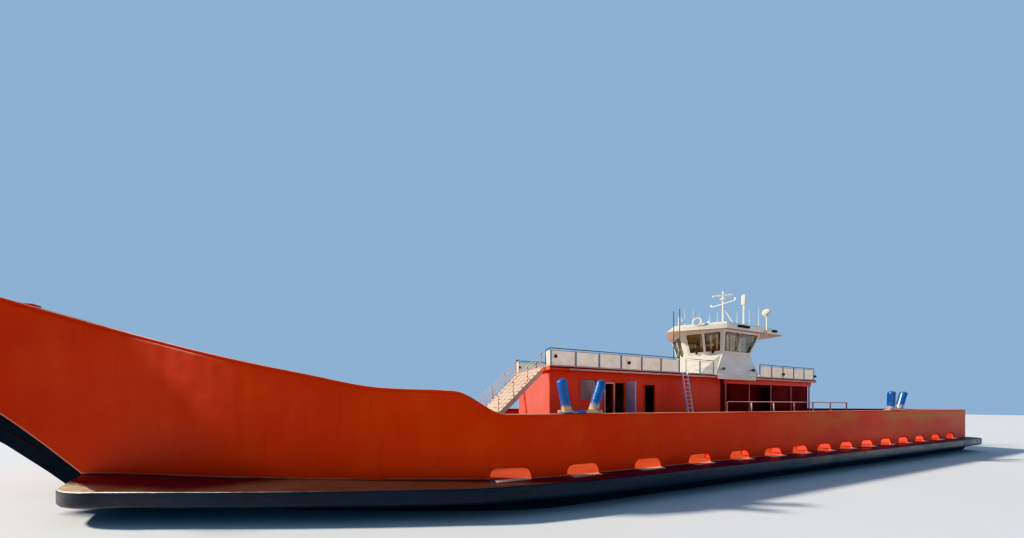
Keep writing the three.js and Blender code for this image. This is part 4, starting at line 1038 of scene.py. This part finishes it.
skirt = prisms([(2.508, UPPER + 0.07), (2.6, UPPER + 0.001), (2.608, DECK + 4.05), (2.64, DECK + 4.05),
                (2.64, UPPER + 0.02)], WALL_AFT, WALL_FORWARD - 0.24, "x")
both_sides("deck_toe", deck_edge(TOE_LOW, TOE_HIGH, 0.02), PINK, "white_paint", bevel=6)
both_sides("deck_ledge", deck_edge(UPPER - 0.22, UPPER - 0.1, 0.06, short=1.2), PINK, "white_paint", bevel=10)
# dark oxide-red strip: partly paint, partly painted shade under the deck edge
both_sides("deck_strip", deck_edge(UPPER - 0.099, UPPER - 0.031, 0.012), DARK_RED, "orange_paint")
both_sides("wheelhouse_skirt", skirt, WHITE, "white_paint", bevel=8)
ends = np.array([(deck_high[0] + 0.001, deck_high[0] + 0.02), (deck_low[0] - 0.02, deck_low[0] - 0.001)])
piece("deck_front_edge", blocks(rows(ends[:, 0], -EDGE, TOE_LOW), rows(ends[:, 1], EDGE, TOE_HIGH)),
      PINK, "white_paint", bevel=6)

# %% [markdown]
# ## Pipe rails
#
# Rails are welded from steel pipe. Each bay of the upper deck's rail holds an inner frame, laced with cream
# sail cloth that keeps spray off; it lets some sun through from behind, and a painted glow adds the rest of
# its brightness. Only before the wheelhouse the frames stay open. The hand rail is painted dark teal. The
# trunk has a plain rail of thicker pipe, and the stair one with parallel bars.

# %% Rails
RAIL_TOP = 0.975
UP = np.array([0, 0, 1.0])


def rail_line(start, end, bay, bars=(), framed=False, radius=0.024):
    """One stretch of rail between two feet, as three shapes: posts and bars, the hand rail, and plates. Posts
    stand at equal steps, near the wanted bay; bars follow the slope. A framed bay has a closed pipe frame
    with its plate."""
    start, end = np.array(start, float), np.array(end, float)
    run = np.hypot(*(end - start)[:2])
    count = max(1, round(run / bay))
    feet = start + (end - start) * np.linspace(0, 1, count + 1)[:, None]
    shapes = [pipes(feet, feet + UP * RAIL_TOP, radius)]
    shapes += [pipes(start + UP * lift, end + UP * lift, radius * 0.75) for lift in bars]
    hand = pipes(start + UP * RAIL_TOP, end + UP * RAIL_TOP, radius)
    if not framed:
        return joined(shapes), hand, None
    along = (end - start) / run
    a, b = feet[:-1] + along * 0.055, feet[1:] - along * 0.055
    low, high = UP * 0.05, UP * 0.86
    for p, q in ((a + low, b + low), (a + high, b + high), (a + low, a + high), (b + low, b + high)):
        shapes.append(pipes(p, q, 0.016, sides=8))
    for lift in (UP * 0.2, UP * 0.62):
        for p, q in ((feet[:-1], a), (b, feet[1:])):
            shapes.append(pipes(p + lift, q + lift, 0.014, sides=6))
    thick = np.array([-along[1], along[0], 0]) * 0.004
    corners = np.stack([a + low, b + low, b + high, a + high], 1)
    return joined(shapes), hand, rods(np.stack([corners - thick, corners + thick], 1))


EDGE_Y = EDGE - 0.08
FRONT_X, AFT_X = 29.1, 3.75
rail_runs = {"upper_rail_forward": [(FRONT_X, 1.95), (FRONT_X, EDGE_Y), (19.5, EDGE_Y)],
             "upper_rail_middle": [(18.9, EDGE_Y), (16.2, EDGE_Y)],
             "upper_rail_aft": [(11.05, EDGE_Y), (AFT_X, EDGE_Y), (AFT_X, 0.02)]}
for key, corners in rail_runs.items():
    lines = [rail_line((*a, UPPER), (*b, UPPER), 1.6, framed=True) for a, b in zip(corners[:-1], corners[1:])]
    bars, hands, plates = (joined(part) for part in zip(*lines))
    both_sides(f"{key}_pipes", bars, PIPE, "rail_paint", key)
    both_sides(f"{key}_hand", hands, HAND, "rail_paint")
    if key != "upper_rail_middle":
        both_sides(f"{key}_cloth", plates, CANVAS, "rail_paint")
TRUNK_Y = 4.23
trunk_rail = joined(rail_line((17.4, TRUNK_Y, TRUNK), (3, TRUNK_Y, TRUNK), 2.4, radius=0.042)[:2])
both_sides("trunk_rail_pipes", trunk_rail, CREAM, "rail_paint", "trunk_rail")

# %% [markdown]
# ## Stair and its rails
#
# The forward stair is folded plate: a tread and a nearly closed riser for each step, between wide stringers.
# Its rails have three bars under the hand rail and lean with the flight. In the photograph the wall beside
# the stair is in full sun, and one sun can't pass the stair as the real light does, so its plates throw no
# shadow.

# %% Stair
STEPS = 12
stair_low, stair_high = box_of("forward_stair")
RUN = stair_high[0] - stair_low[0] - 0.05


def stair():
    """Step i of n lies at i / (n + 1) of the way down; its riser closes most of the height below the step
    above."""
    rise, going = (UPPER - TRUNK) / (STEPS + 1), RUN / (STEPS + 1)
    i = np.arange(1, STEPS + 1)
    half = stair_high[1] - 0.03
    x, top = stair_low[0] + going * (i - 0.5), UPPER - rise * i
    treads = blocks(rows(x, -half, top - 0.045), rows(x + going * 1.15, half, top))
    risers = blocks(rows(x + 0.02, -half, top), rows(x + 0.035, half, top + rise * 0.7))
    head, foot, ground = stair_low[0], stair_low[0] + RUN, TRUNK + 0.001
    outline = [(head, UPPER), (head, UPPER - 0.35), (foot - 0.35, ground), (foot + 0.05, ground)]
    return joined([treads, risers, prisms(outline, [half, -half - 0.03, -0.03], [half + 0.03, -half, 0.03])])


def stair_rail():
    """Three bars and a hand rail that lean with the flight, just outside its stringer."""
    slope = (UPPER - TRUNK) / RUN
    foot = [(stair_low[0] + at, stair_high[1] + 0.026, UPPER - slope * at - 0.05) for at in (0.1, RUN - 0.3)]
    return joined(rail_line(*foot, 0.9, bars=(0.26, 0.5, 0.74), radius=0.028)[:2])


stair_plates = piece("stair_plates", stair(), CREAM, "white_paint", replaces=["forward_stair"], bevel=5)
stair_plates.visible_shadow = False
both_sides("stair_rail_pipes", stair_rail(), CREAM, "white_paint", "stair_rail")

# %% [markdown]
# ## Awning frames
#
# Five pipe posts and a deep folded beam on each side carry the edge of the roof over the covered space. Red
# steel screens close its aft half.

# %% Awning frames
awning_low, awning_high = box_of("awning_frame_port")
AWNING_Y, FLOOR = (awning_low[1] + awning_high[1]) / 2, awning_low[2]
posts = np.array([4.1, 6.75, 9.4, 12.05, 14.7])
beam = blocks((awning_low[0], awning_low[1], awning_high[2] - 0.34), awning_high)
pillars = pipes(rows(posts, AWNING_Y, FLOOR), rows(posts, AWNING_Y, awning_high[2] - 0.33), 0.05, sides=20)
plates = blocks(rows(posts - 0.14, AWNING_Y - 0.14, FLOOR), rows(posts + 0.14, AWNING_Y + 0.14, FLOOR + 0.02))
screen = blocks((posts[0] + 0.07, AWNING_Y - 0.1, TRUNK + 0.001), (posts[2] - 0.4, AWNING_Y - 0.075, ceiling))
both_sides("awning_beam", beam, HOUSE_RED, "orange_paint", "awning_frame", bevel=5)
both_sides("awning_posts", joined([pillars, plates]), PINK, "orange_paint", bevel=5)
both_sides("awning_screen", screen, DARK_RED, "dark_red_paint", bevel=4)

# %% [markdown]
# ## Wheelhouse fittings
#
# Panes sit in black rubber seals. Behind them stand a console along the front windows and two chairs, brown
# and dark against the far windows. Wipers hang from motors above the front panes, and lamps stand on the base
# and on the rail.

# %% Seals, wipers and lamps
SILL, HEAD, WAIST = DECK + 6.28, DECK + 7.58, DECK + 6.03
SWEEP, RIDGE = 1.35, 0.12
FACE = unit([SWEEP, 1, 0])  # out of the port front face, seen in plan
BEHIND = -0.004  # how far the axis of a seal lies behind the pane's face


def leaning(z):
    """Half the wheelhouse's breadth and the x of its front corner: both grow evenly from the waist to the
    roof."""
    share = (z - WAIST) / (ROOF_UNDER - WAIST)
    return 1.9 + 0.35 * share, 14.3 + 0.38 * share


def front_ends(z):
    """The ridge and the corner of the port front face at a height."""
    half, x = leaning(z)
    return np.array([x + (half - RIDGE) / SWEEP, RIDGE, z]), np.array([x, half, z])


def front_place(share, z, out=0.0):
    """A place on the port front face: share goes from the ridge to the corner, out stands off the face."""
    ridge, corner = front_ends(z)
    return ridge + (corner - ridge) * share + FACE * out


def seal(corners, width=0.03):
    """A flat bar round a pane: the four corners, joined by round bars of half the width."""
    return pipes(corners, np.roll(corners, -1, axis=0), width / 2, sides=8)


front_panes = [(0.09, 0.46), (0.54, 0.91)]
side_panes = [((11.3, SILL), (12.75, SILL), (12.75, HEAD), (10.75, HEAD)),
              ((12.85, SILL), (14.15, SILL), (14.45, HEAD), (12.85, HEAD))]
seals = [seal([front_place(share, z, BEHIND) for share, z in ((a, SILL), (b, SILL), (b, HEAD), (a, HEAD))])
         for a, b in front_panes]
seals += [seal([(x, leaning(z)[0] + BEHIND, z) for x, z in pane]) for pane in side_panes]


def wiper(share):
    """A motor below the pane, an arm that rises from it and a blade."""
    motor, hub = front_place(share, SILL - 0.09, 0.002), front_place(share, SILL - 0.09, 0.1)
    tip = front_place(share + 0.08, SILL + 0.66, 0.03)
    blade = [front_place(share + 0.075, SILL + 0.3, 0.015), front_place(share + 0.085, SILL + 0.95, 0.015)]
    return joined([pipes(motor, hub, 0.075, sides=16), pipes(hub, tip, 0.012, sides=8),
                   pipes(*blade, 0.014, sides=8)])


both_sides("window_seals", joined(seals), RUBBER, "glass")
both_sides("wipers", joined([wiper(0.26), wiper(0.72)]), RUBBER, "white_paint")
LAMP = 0.1  # radius of a flood lamp's rim


def lamp(x, y, z, reach):
    """A flood lamp that looks ahead and outboard: a short can on an arm, which reaches inboard to the rail or
    wall."""
    centre, ahead = np.array([x, y, z]), np.array([0.6, 0.8, 0])
    mouth = centre + ahead * LAMP * 0.6
    can = pipes(centre - ahead * LAMP, mouth, LAMP * 0.75, sides=16, end_radius=LAMP)
    lens = pipes(mouth, mouth + ahead * 0.012, LAMP * 0.86, sides=16)
    return joined([can, pipes(centre, centre - [0, reach, 0], 0.02, sides=8)]), lens


wall_lamps = [(15.2, 2.55, DECK + 4.8), (11.9, 2.55, DECK + 4.83)]
rail_lamps = [(x, 2.58, DECK + z) for x, z in ((8.19, 4.66), (3.75, 4.66), (28.8, 4.86), (23.75, 4.76))]
lamps = [lamp(*place, 0.25) for place in wall_lamps] + [lamp(*place, 0.18) for place in rail_lamps]
cans, lenses = (joined(part) for part in zip(*lamps))
piece("flood_lamps", with_mirror(cans), RUBBER, "white_paint")
piece("flood_lamp_lenses", with_mirror(lenses), LENS_GLASS, "glass")

# %% [markdown]
# The inside of the wheelhouse is lined with brown laminate. Console, chairs and a wheel on its stand are
# enough to see from the quay; charts and instruments are lost behind the glare. The pale curtains are
# gathered in bundles, and what shows through the panes is mostly their stripes before a dark room; the
# curtains carry a painted glow that stands in for daylight from the far panes.

# %% Inside the wheelhouse
BRIDGE = box_of("wheelhouse_floor")[1][2]


def console():
    """A desk along the port front face: a section (distance in from the glass, height) between ridge and
    corner."""
    section = np.array([(0.25, 0.0), (0.2, 0.95), (0.3, 1.12), (0.75, 0.92), (0.7, 0.0)])
    ridge, corner = front_ends(WAIST)
    ends = ridge + (corner - ridge) * np.array([[0.1], [0.86]])
    return tube(ends[:, None] - FACE * section[:, :1] + UP * (BRIDGE - WAIST + section[:, 1:]))


def chair(x, y):
    """A seat and a back on a pedestal."""
    seat = blocks([(x - 0.25, y - 0.25, BRIDGE + 0.62), (x - 0.27, y - 0.25, BRIDGE + 0.72)],
                  [(x + 0.25, y + 0.25, BRIDGE + 0.72), (x - 0.17, y + 0.25, BRIDGE + 1.4)])
    return joined([seat, pipes((x, y, BRIDGE + 0.002), (x, y, BRIDGE + 0.63), 0.06, sides=14)])


def curtain(start, end, folds=2):
    """Cloth hung between two places in plan, from below the head to the sill: it swings 40 mm across its line
    by sin(2 pi folds s), s being the share of the way, and the folds widen towards the hem."""
    share = np.linspace(0, 1, folds * 12 + 1)[:, None]
    drop = np.linspace(0, 1, 9)
    start, way = np.array(start), np.subtract(end, start)
    across = np.array([-way[1], way[0]]) / np.linalg.norm(way)
    swing = (0.025 + 0.02 * drop) * np.sin(2 * np.pi * folds * share + 0.6 * drop)
    x, y = (start[k] + way[k] * share + across[k] * swing for k in (0, 1))
    return grid(rows(x, y, HEAD - 0.04 - (HEAD - SILL + 0.1) * drop))


bundles = [curtain((x, 1.72), (x + 0.17, 1.72)) for x in (12.02, 12.36, 12.68, 13.0, 13.42, 13.9)]
bundles += [curtain(front_place(share, SILL, -0.3), front_place(share + 0.07, SILL, -0.3))
            for share in (0.38, 0.64, 0.8)]
piece("curtains", with_mirror(joined(bundles)), CURTAIN, "dark_red_paint", inward=4)
piece("console", with_mirror(console()), LINING, "dark_red_paint", bevel=10)
piece("chairs", joined([chair(13.2, 0.75), chair(13.2, -0.75)]), RUBBER, "dark_red_paint", bevel=12)


def steering_wheel(x=14.0, z=BRIDGE + 1.05, radius=0.3):
    """A rim of bent pipe, three bars across it, a hub and a stand."""
    turn = np.linspace(0, 2 * np.pi, 37)
    thirds = np.linspace(0, np.pi, 3, endpoint=False)
    rim = rows(x, radius * np.cos(turn), z + radius * np.sin(turn))
    spoke = rows(0, radius * np.cos(thirds), radius * np.sin(thirds))
    hub = np.array([x, 0, z])
    return joined([bent_pipe(rim, 0.02), pipes(hub + spoke, hub - spoke, 0.012, sides=8),
                   pipes((x + 0.12, 0, BRIDGE + 0.002), (x + 0.12, 0, BRIDGE + 1.1), 0.07, sides=16),
                   pipes((x - 0.02, 0, z), (x + 0.14, 0, z), 0.04, sides=14)])


piece("steering_wheel", steering_wheel(), LINING, "dark_red_paint")

# %% [markdown]
# ## The roof and its aerials
#
# The mast is pipe, with a round platform for the radar. Around it stand whips of glass fibre, a horn, two
# dark poles before the roof and a lifebuoy on the front edge. The dome is one smooth shell, turned round its
# axis.

# %% Mast, radar, dome and signal lamps
ROOF_TOP = ROOF + 0.001
MAST_X, PLATFORM, YARD = 11.4, DECK + 11.1, DECK + 10.7


def mast_shape():
    """A pole on two legs with a platform, a yard and a second, thinner pole for the lights."""
    light_x, light_y, leg_x = MAST_X - 0.79, -0.52, MAST_X - 0.9
    yards = [(MAST_X, 0, YARD), (MAST_X, -1.0, YARD)], [(light_x, light_y, YARD), (MAST_X, 1.0, YARD)]
    shapes = [
        pipes((MAST_X, 0, ROOF_TOP), (MAST_X, 0, PLATFORM), 0.075, sides=20, end_radius=0.055),
        pipes([(leg_x, 0.7, ROOF_TOP), (leg_x, -0.7, ROOF_TOP)], (MAST_X, 0, DECK + 10.4), 0.035),
        pipes((light_x, light_y, ROOF_TOP), (light_x, light_y, DECK + 12), 0.04, sides=14, end_radius=0.028),
        pipes(*yards, 0.028),
        turned([(0.2, -0.05), (0.22, -0.045), (0.22, -0.005), (0.2, 0), (0.1, 0.001), (0.1, 0.16)],
               (MAST_X, 0, PLATFORM), sides=32),
        turned([(0.14, 0), (0.14, 0.03), (0.1, 0.035)], (MAST_X, 0, ROOF_TOP))]
    lamps = [(MAST_X, 0.98, YARD + 0.01), (MAST_X, -0.98, YARD + 0.01), (light_x, light_y, DECK + 11.82)]
    return joined(shapes + [turned([(0.05, 0), (0.07, 0.01), (0.07, 0.16), (0.05, 0.19)], place, sides=20)
                            for place in lamps])


def radar_shape(turn=0.9):
    """The scanner: a beam with rounded ends that is as long, wide and high as its solid, turned by 0.9
    radians."""
    low, high = box_of("radar_scanner")
    t = np.linspace(-1, 1, 25)[:, None]
    taper = (1 - np.abs(t) ** 6) ** (1 / 6) * 0.9 + 0.1
    section = rounded_section(0.14, 0.14, 0.05)
    along, across = t * 0.8, section[:, 0] * taper
    sine, cosine = np.sin(turn), np.cos(turn)
    bar = rows(MAST_X - sine * along + cosine * across, cosine * along + sine * across,
               high[2] - 0.07 + section[:, 1] * taper)
    return joined([tube(bar), turned([(0.09, 0), (0.08, 0.05), (0.05, 0.08)], (MAST_X, 0, low[2]))])


def dome_shape(x=10.4, y=2.62):
    """The dome's profile is half an egg: radius 0.275 sin(a), height 0.27 (1 - cos(a)), a from its foot to
    its top."""
    a = np.linspace(0.55, np.pi - 0.02, 22)
    egg = np.stack([0.275 * np.sin(a), 0.045 + 0.27 * (1 - np.cos(a))], 1)
    post = pipes((x, y, ROOF_UNDER - 0.3), (x, y, DECK + 9.02), 0.035, sides=16)
    bracket = blocks((x - 0.04, 2.501, ROOF_UNDER + 0.1), (x + 0.04, y, ROOF_UNDER + 0.2))
    return joined([turned([(0.1, 0.0), *egg], (x, y, DECK + 9.0), sides=36), post, bracket])


def signal_post(x=10.2, y=0.9):
    """A post on a foot plate, with a round lamp housing on top."""
    housing = [(0.04, 0), (0.15, 0.01), (0.17, 0.05), (0.17, 0.72), (0.14, 0.8), (0.05, 0.82)]
    plate = [(0.12, 0), (0.12, 0.02), (0.06, 0.03)]
    return joined([pipes((x, y, ROOF_TOP), (x, y, DECK + 10.5), 0.04, sides=16),
                   turned(housing, (x, y, DECK + 10.48)), turned(plate, (x, y, ROOF_TOP))])


piece("mast_pipes", mast_shape(), WHITE, "white_paint", replaces=["mast"])
piece("radar_beam", radar_shape(), WHITE, "white_paint", body="radar_scanner", replaces=["radar_scanner"])
piece("dome_shell", dome_shape(), WHITE, "white_paint", replaces=["satellite_dome"])
piece("signal_light", signal_post(), WHITE, "white_paint", replaces=["signal_post"])

# %% [markdown]
# The small gear is placed one by one. A whip is a glass fibre rod in a socket, drawn thin to a point by a
# second radius, and the lifebuoy is a pipe bent to a full circle.

# %% Whips, lifebuoy, vent, horn, poles and light bars
whips = np.array([(16.55, 0.1, 1.4), (16.1, 0.2, 1.4), (15.7, 0.6, 1.3), (15.3, 0.8, 1.0), (14.75, 1.2, 0.8),
                  (14.6, 1.7, 0.9), (12.85, 2.0, 1.0), (12.2, 2.0, 1.7), (11.4, 2.0, 1.4), (9.9, 1.8, 1.8)])
whip_foot = rows(whips[:, 0], whips[:, 1], ROOF_TOP)
whip_head = whip_foot + UP * whips[:, 2:]
sockets = pipes(whip_foot, whip_foot + UP * 0.18, 0.03, sides=12)
piece("whip_aerials", joined([pipes(whip_foot, whip_head, 0.02, sides=8, end_radius=0.008), sockets]), WHITE,
      "white_paint")


def roof_fittings():
    """A lifebuoy that stands along the front edge, a bent vent pipe, and a horn on its foot."""
    turn = np.linspace(0, 2 * np.pi, 37)[:, None]
    ring = 0.27 * (np.cos(turn) * [-FACE[1], FACE[0], 0] + np.sin(turn) * UP)
    bend = np.linspace(0, np.pi, 12)
    vent = rows(16.45 + 0.17 * np.cos(bend), 0.12, ROOF + 0.55 + 0.17 * np.sin(bend))
    vent = np.concatenate([[(16.62, 0.12, ROOF_TOP)], vent, [(16.28, 0.12, ROOF + 0.4)]])
    flare = [(0.03, 0), (0.03, 0.12), (0.05, 0.26), (0.1, 0.38)]
    horn = turned(flare, (14.5, 1.2, ROOF + 0.2), "x", sides=20)
    return joined([bent_pipe([16.02, 1.18, ROOF + 0.12] + ring, 0.06, sides=14), bent_pipe(vent, 0.035), horn,
                   pipes((14.56, 1.2, ROOF_TOP), (14.56, 1.2, ROOF + 0.2), 0.025)])


piece("roof_fittings", roof_fittings(), WHITE, "white_paint")
poles = np.array([(17.75, 0.62), (17.9, 1.24)]).T
poles = pipes(rows(*poles, UPPER + 0.001), rows(*poles, DECK + 9.15), 0.03, sides=12)
piece("front_poles", poles, HAND, "rail_paint")
bars_low = np.array([(12.3, 2.501, ROOF_UNDER + 0.16), (8.95, 2.501, ROOF_UNDER + 0.16)])
light_bars = blocks(bars_low, bars_low + [(1.25, 0.08, 0.16), (0.5, 0.08, 0.16)])
piece("light_bars", with_mirror(light_bars), RUBBER, "white_paint", bevel=6)

# %% [markdown]
# ## Bitts
#
# Mooring bitts are thick pipe with a domed end, splayed so that a rope can't ride up, on a saddle plate over
# the cap.

# %% Bitts
THICK = 0.16  # radius of a bitt


def bitts(x):
    """Two posts along straight axes; the radius is even up to a quarter circle that closes the top."""
    y, foot = shell(x) - 0.1, DECK + sheer(x) + 0.051
    shapes = [blocks((x - 0.7, y - 0.2, foot), (x + 0.7, y + 0.2, foot + 0.09))]
    turn = np.linspace(0, np.pi / 2 - 0.05, 7)
    for way in (-1, 1):
        start = np.array([x + 0.49 * way, y, foot + 0.07])
        end = np.array([x + 0.73 * way, y + 0.1, foot + 0.95])
        dome = 0.1 * unit(end - start)
        shapes.append(pipes(start, end, THICK, sides=32))
        for a, b in zip(turn[:-1], turn[1:]):
            shapes.append(pipes(end + dome * np.sin(a), end + dome * np.sin(b), THICK * np.cos(a), sides=32,
                                end_radius=THICK * np.cos(b)))
    return joined(shapes)


for key, x in (("forward", 31.54), ("aft", 10.2)):
    both_sides(f"bitt_posts_{key}", bitts(x), BLUE, "blue_paint", f"bitts_{key}", bevel=6)

# %% [markdown]
# ## Floor and light
#
# The ferry floats, so a plain pale floor lies at its waterline. Late sun comes over the bow from the far side
# of the ship, as in the photograph: the near plating is in open shade, while the fronts of the houses are lit
# warm. An even sky and a very soft fill from the quay behind the stern light the shaded side.

# %% Floor, sun and sky
SUN = (0.77, -0.36, 0.52)  # towards the sun: over the bow, from the far side
FILL = (-0.8, 0.55, 0.25)  # towards the bright quay: over the port quarter


def make_floor(half=90):
    mesh = bpy.data.meshes.new("floor")
    z = WATER * METRE
    corners = [(-half, -half, z), (half, -half, z), (half, half, z), (-half, half, z)]
    mesh.from_pydata(corners, [], [(0, 1, 2, 3)])
    floor = bpy.data.objects.new("floor", mesh)
    bpy.context.scene.collection.objects.link(floor)
    look = Finish("studio_floor", "#c9cdd1", {"Roughness": 0.8})
    look.coat(look.marks((9000, 9000, 9000), 0.2, 0.8), "#d2d5d8")
    mesh.materials.append(look.done())


def make_sun(name, way, energy, degrees, colour):
    sun = bpy.data.objects.new(name, bpy.data.lights.new(name, "SUN"))
    bpy.context.scene.collection.objects.link(sun)
    sun.rotation_euler = Vector(way).to_track_quat("Z", "Y").to_euler()
    sun.data.energy = energy
    sun.data.angle = math.radians(degrees)
    sun.data.color = colour


def make_sky():
    """An even sky. The camera sees it brighter than it lights, as a bright day sky is in a photograph."""
    world = bpy.data.worlds.new("sky")
    bpy.context.scene.world = world
    world.use_nodes = True
    back = world.node_tree.nodes["Background"]
    back.inputs["Color"].default_value = linear("#a4c8ec")
    seen = add(world.node_tree, "LightPath").outputs["Is Camera Ray"]
    strength = add(world.node_tree, "MapRange", {"Value": seen, "To Min": 0.56, "To Max": 0.82})
    world.node_tree.links.new(strength.outputs[0], back.inputs["Strength"])


make_floor()
make_sun("sun", SUN, 6.2, 4, (1.0, 0.9, 0.76))
make_sun("fill", FILL, 0.36, 45, (1.0, 0.97, 0.93))
make_sky()
bpy.context.scene.view_settings.view_transform = "Khronos PBR Neutral"
print("sun towards", SUN, "fill towards", FILL)
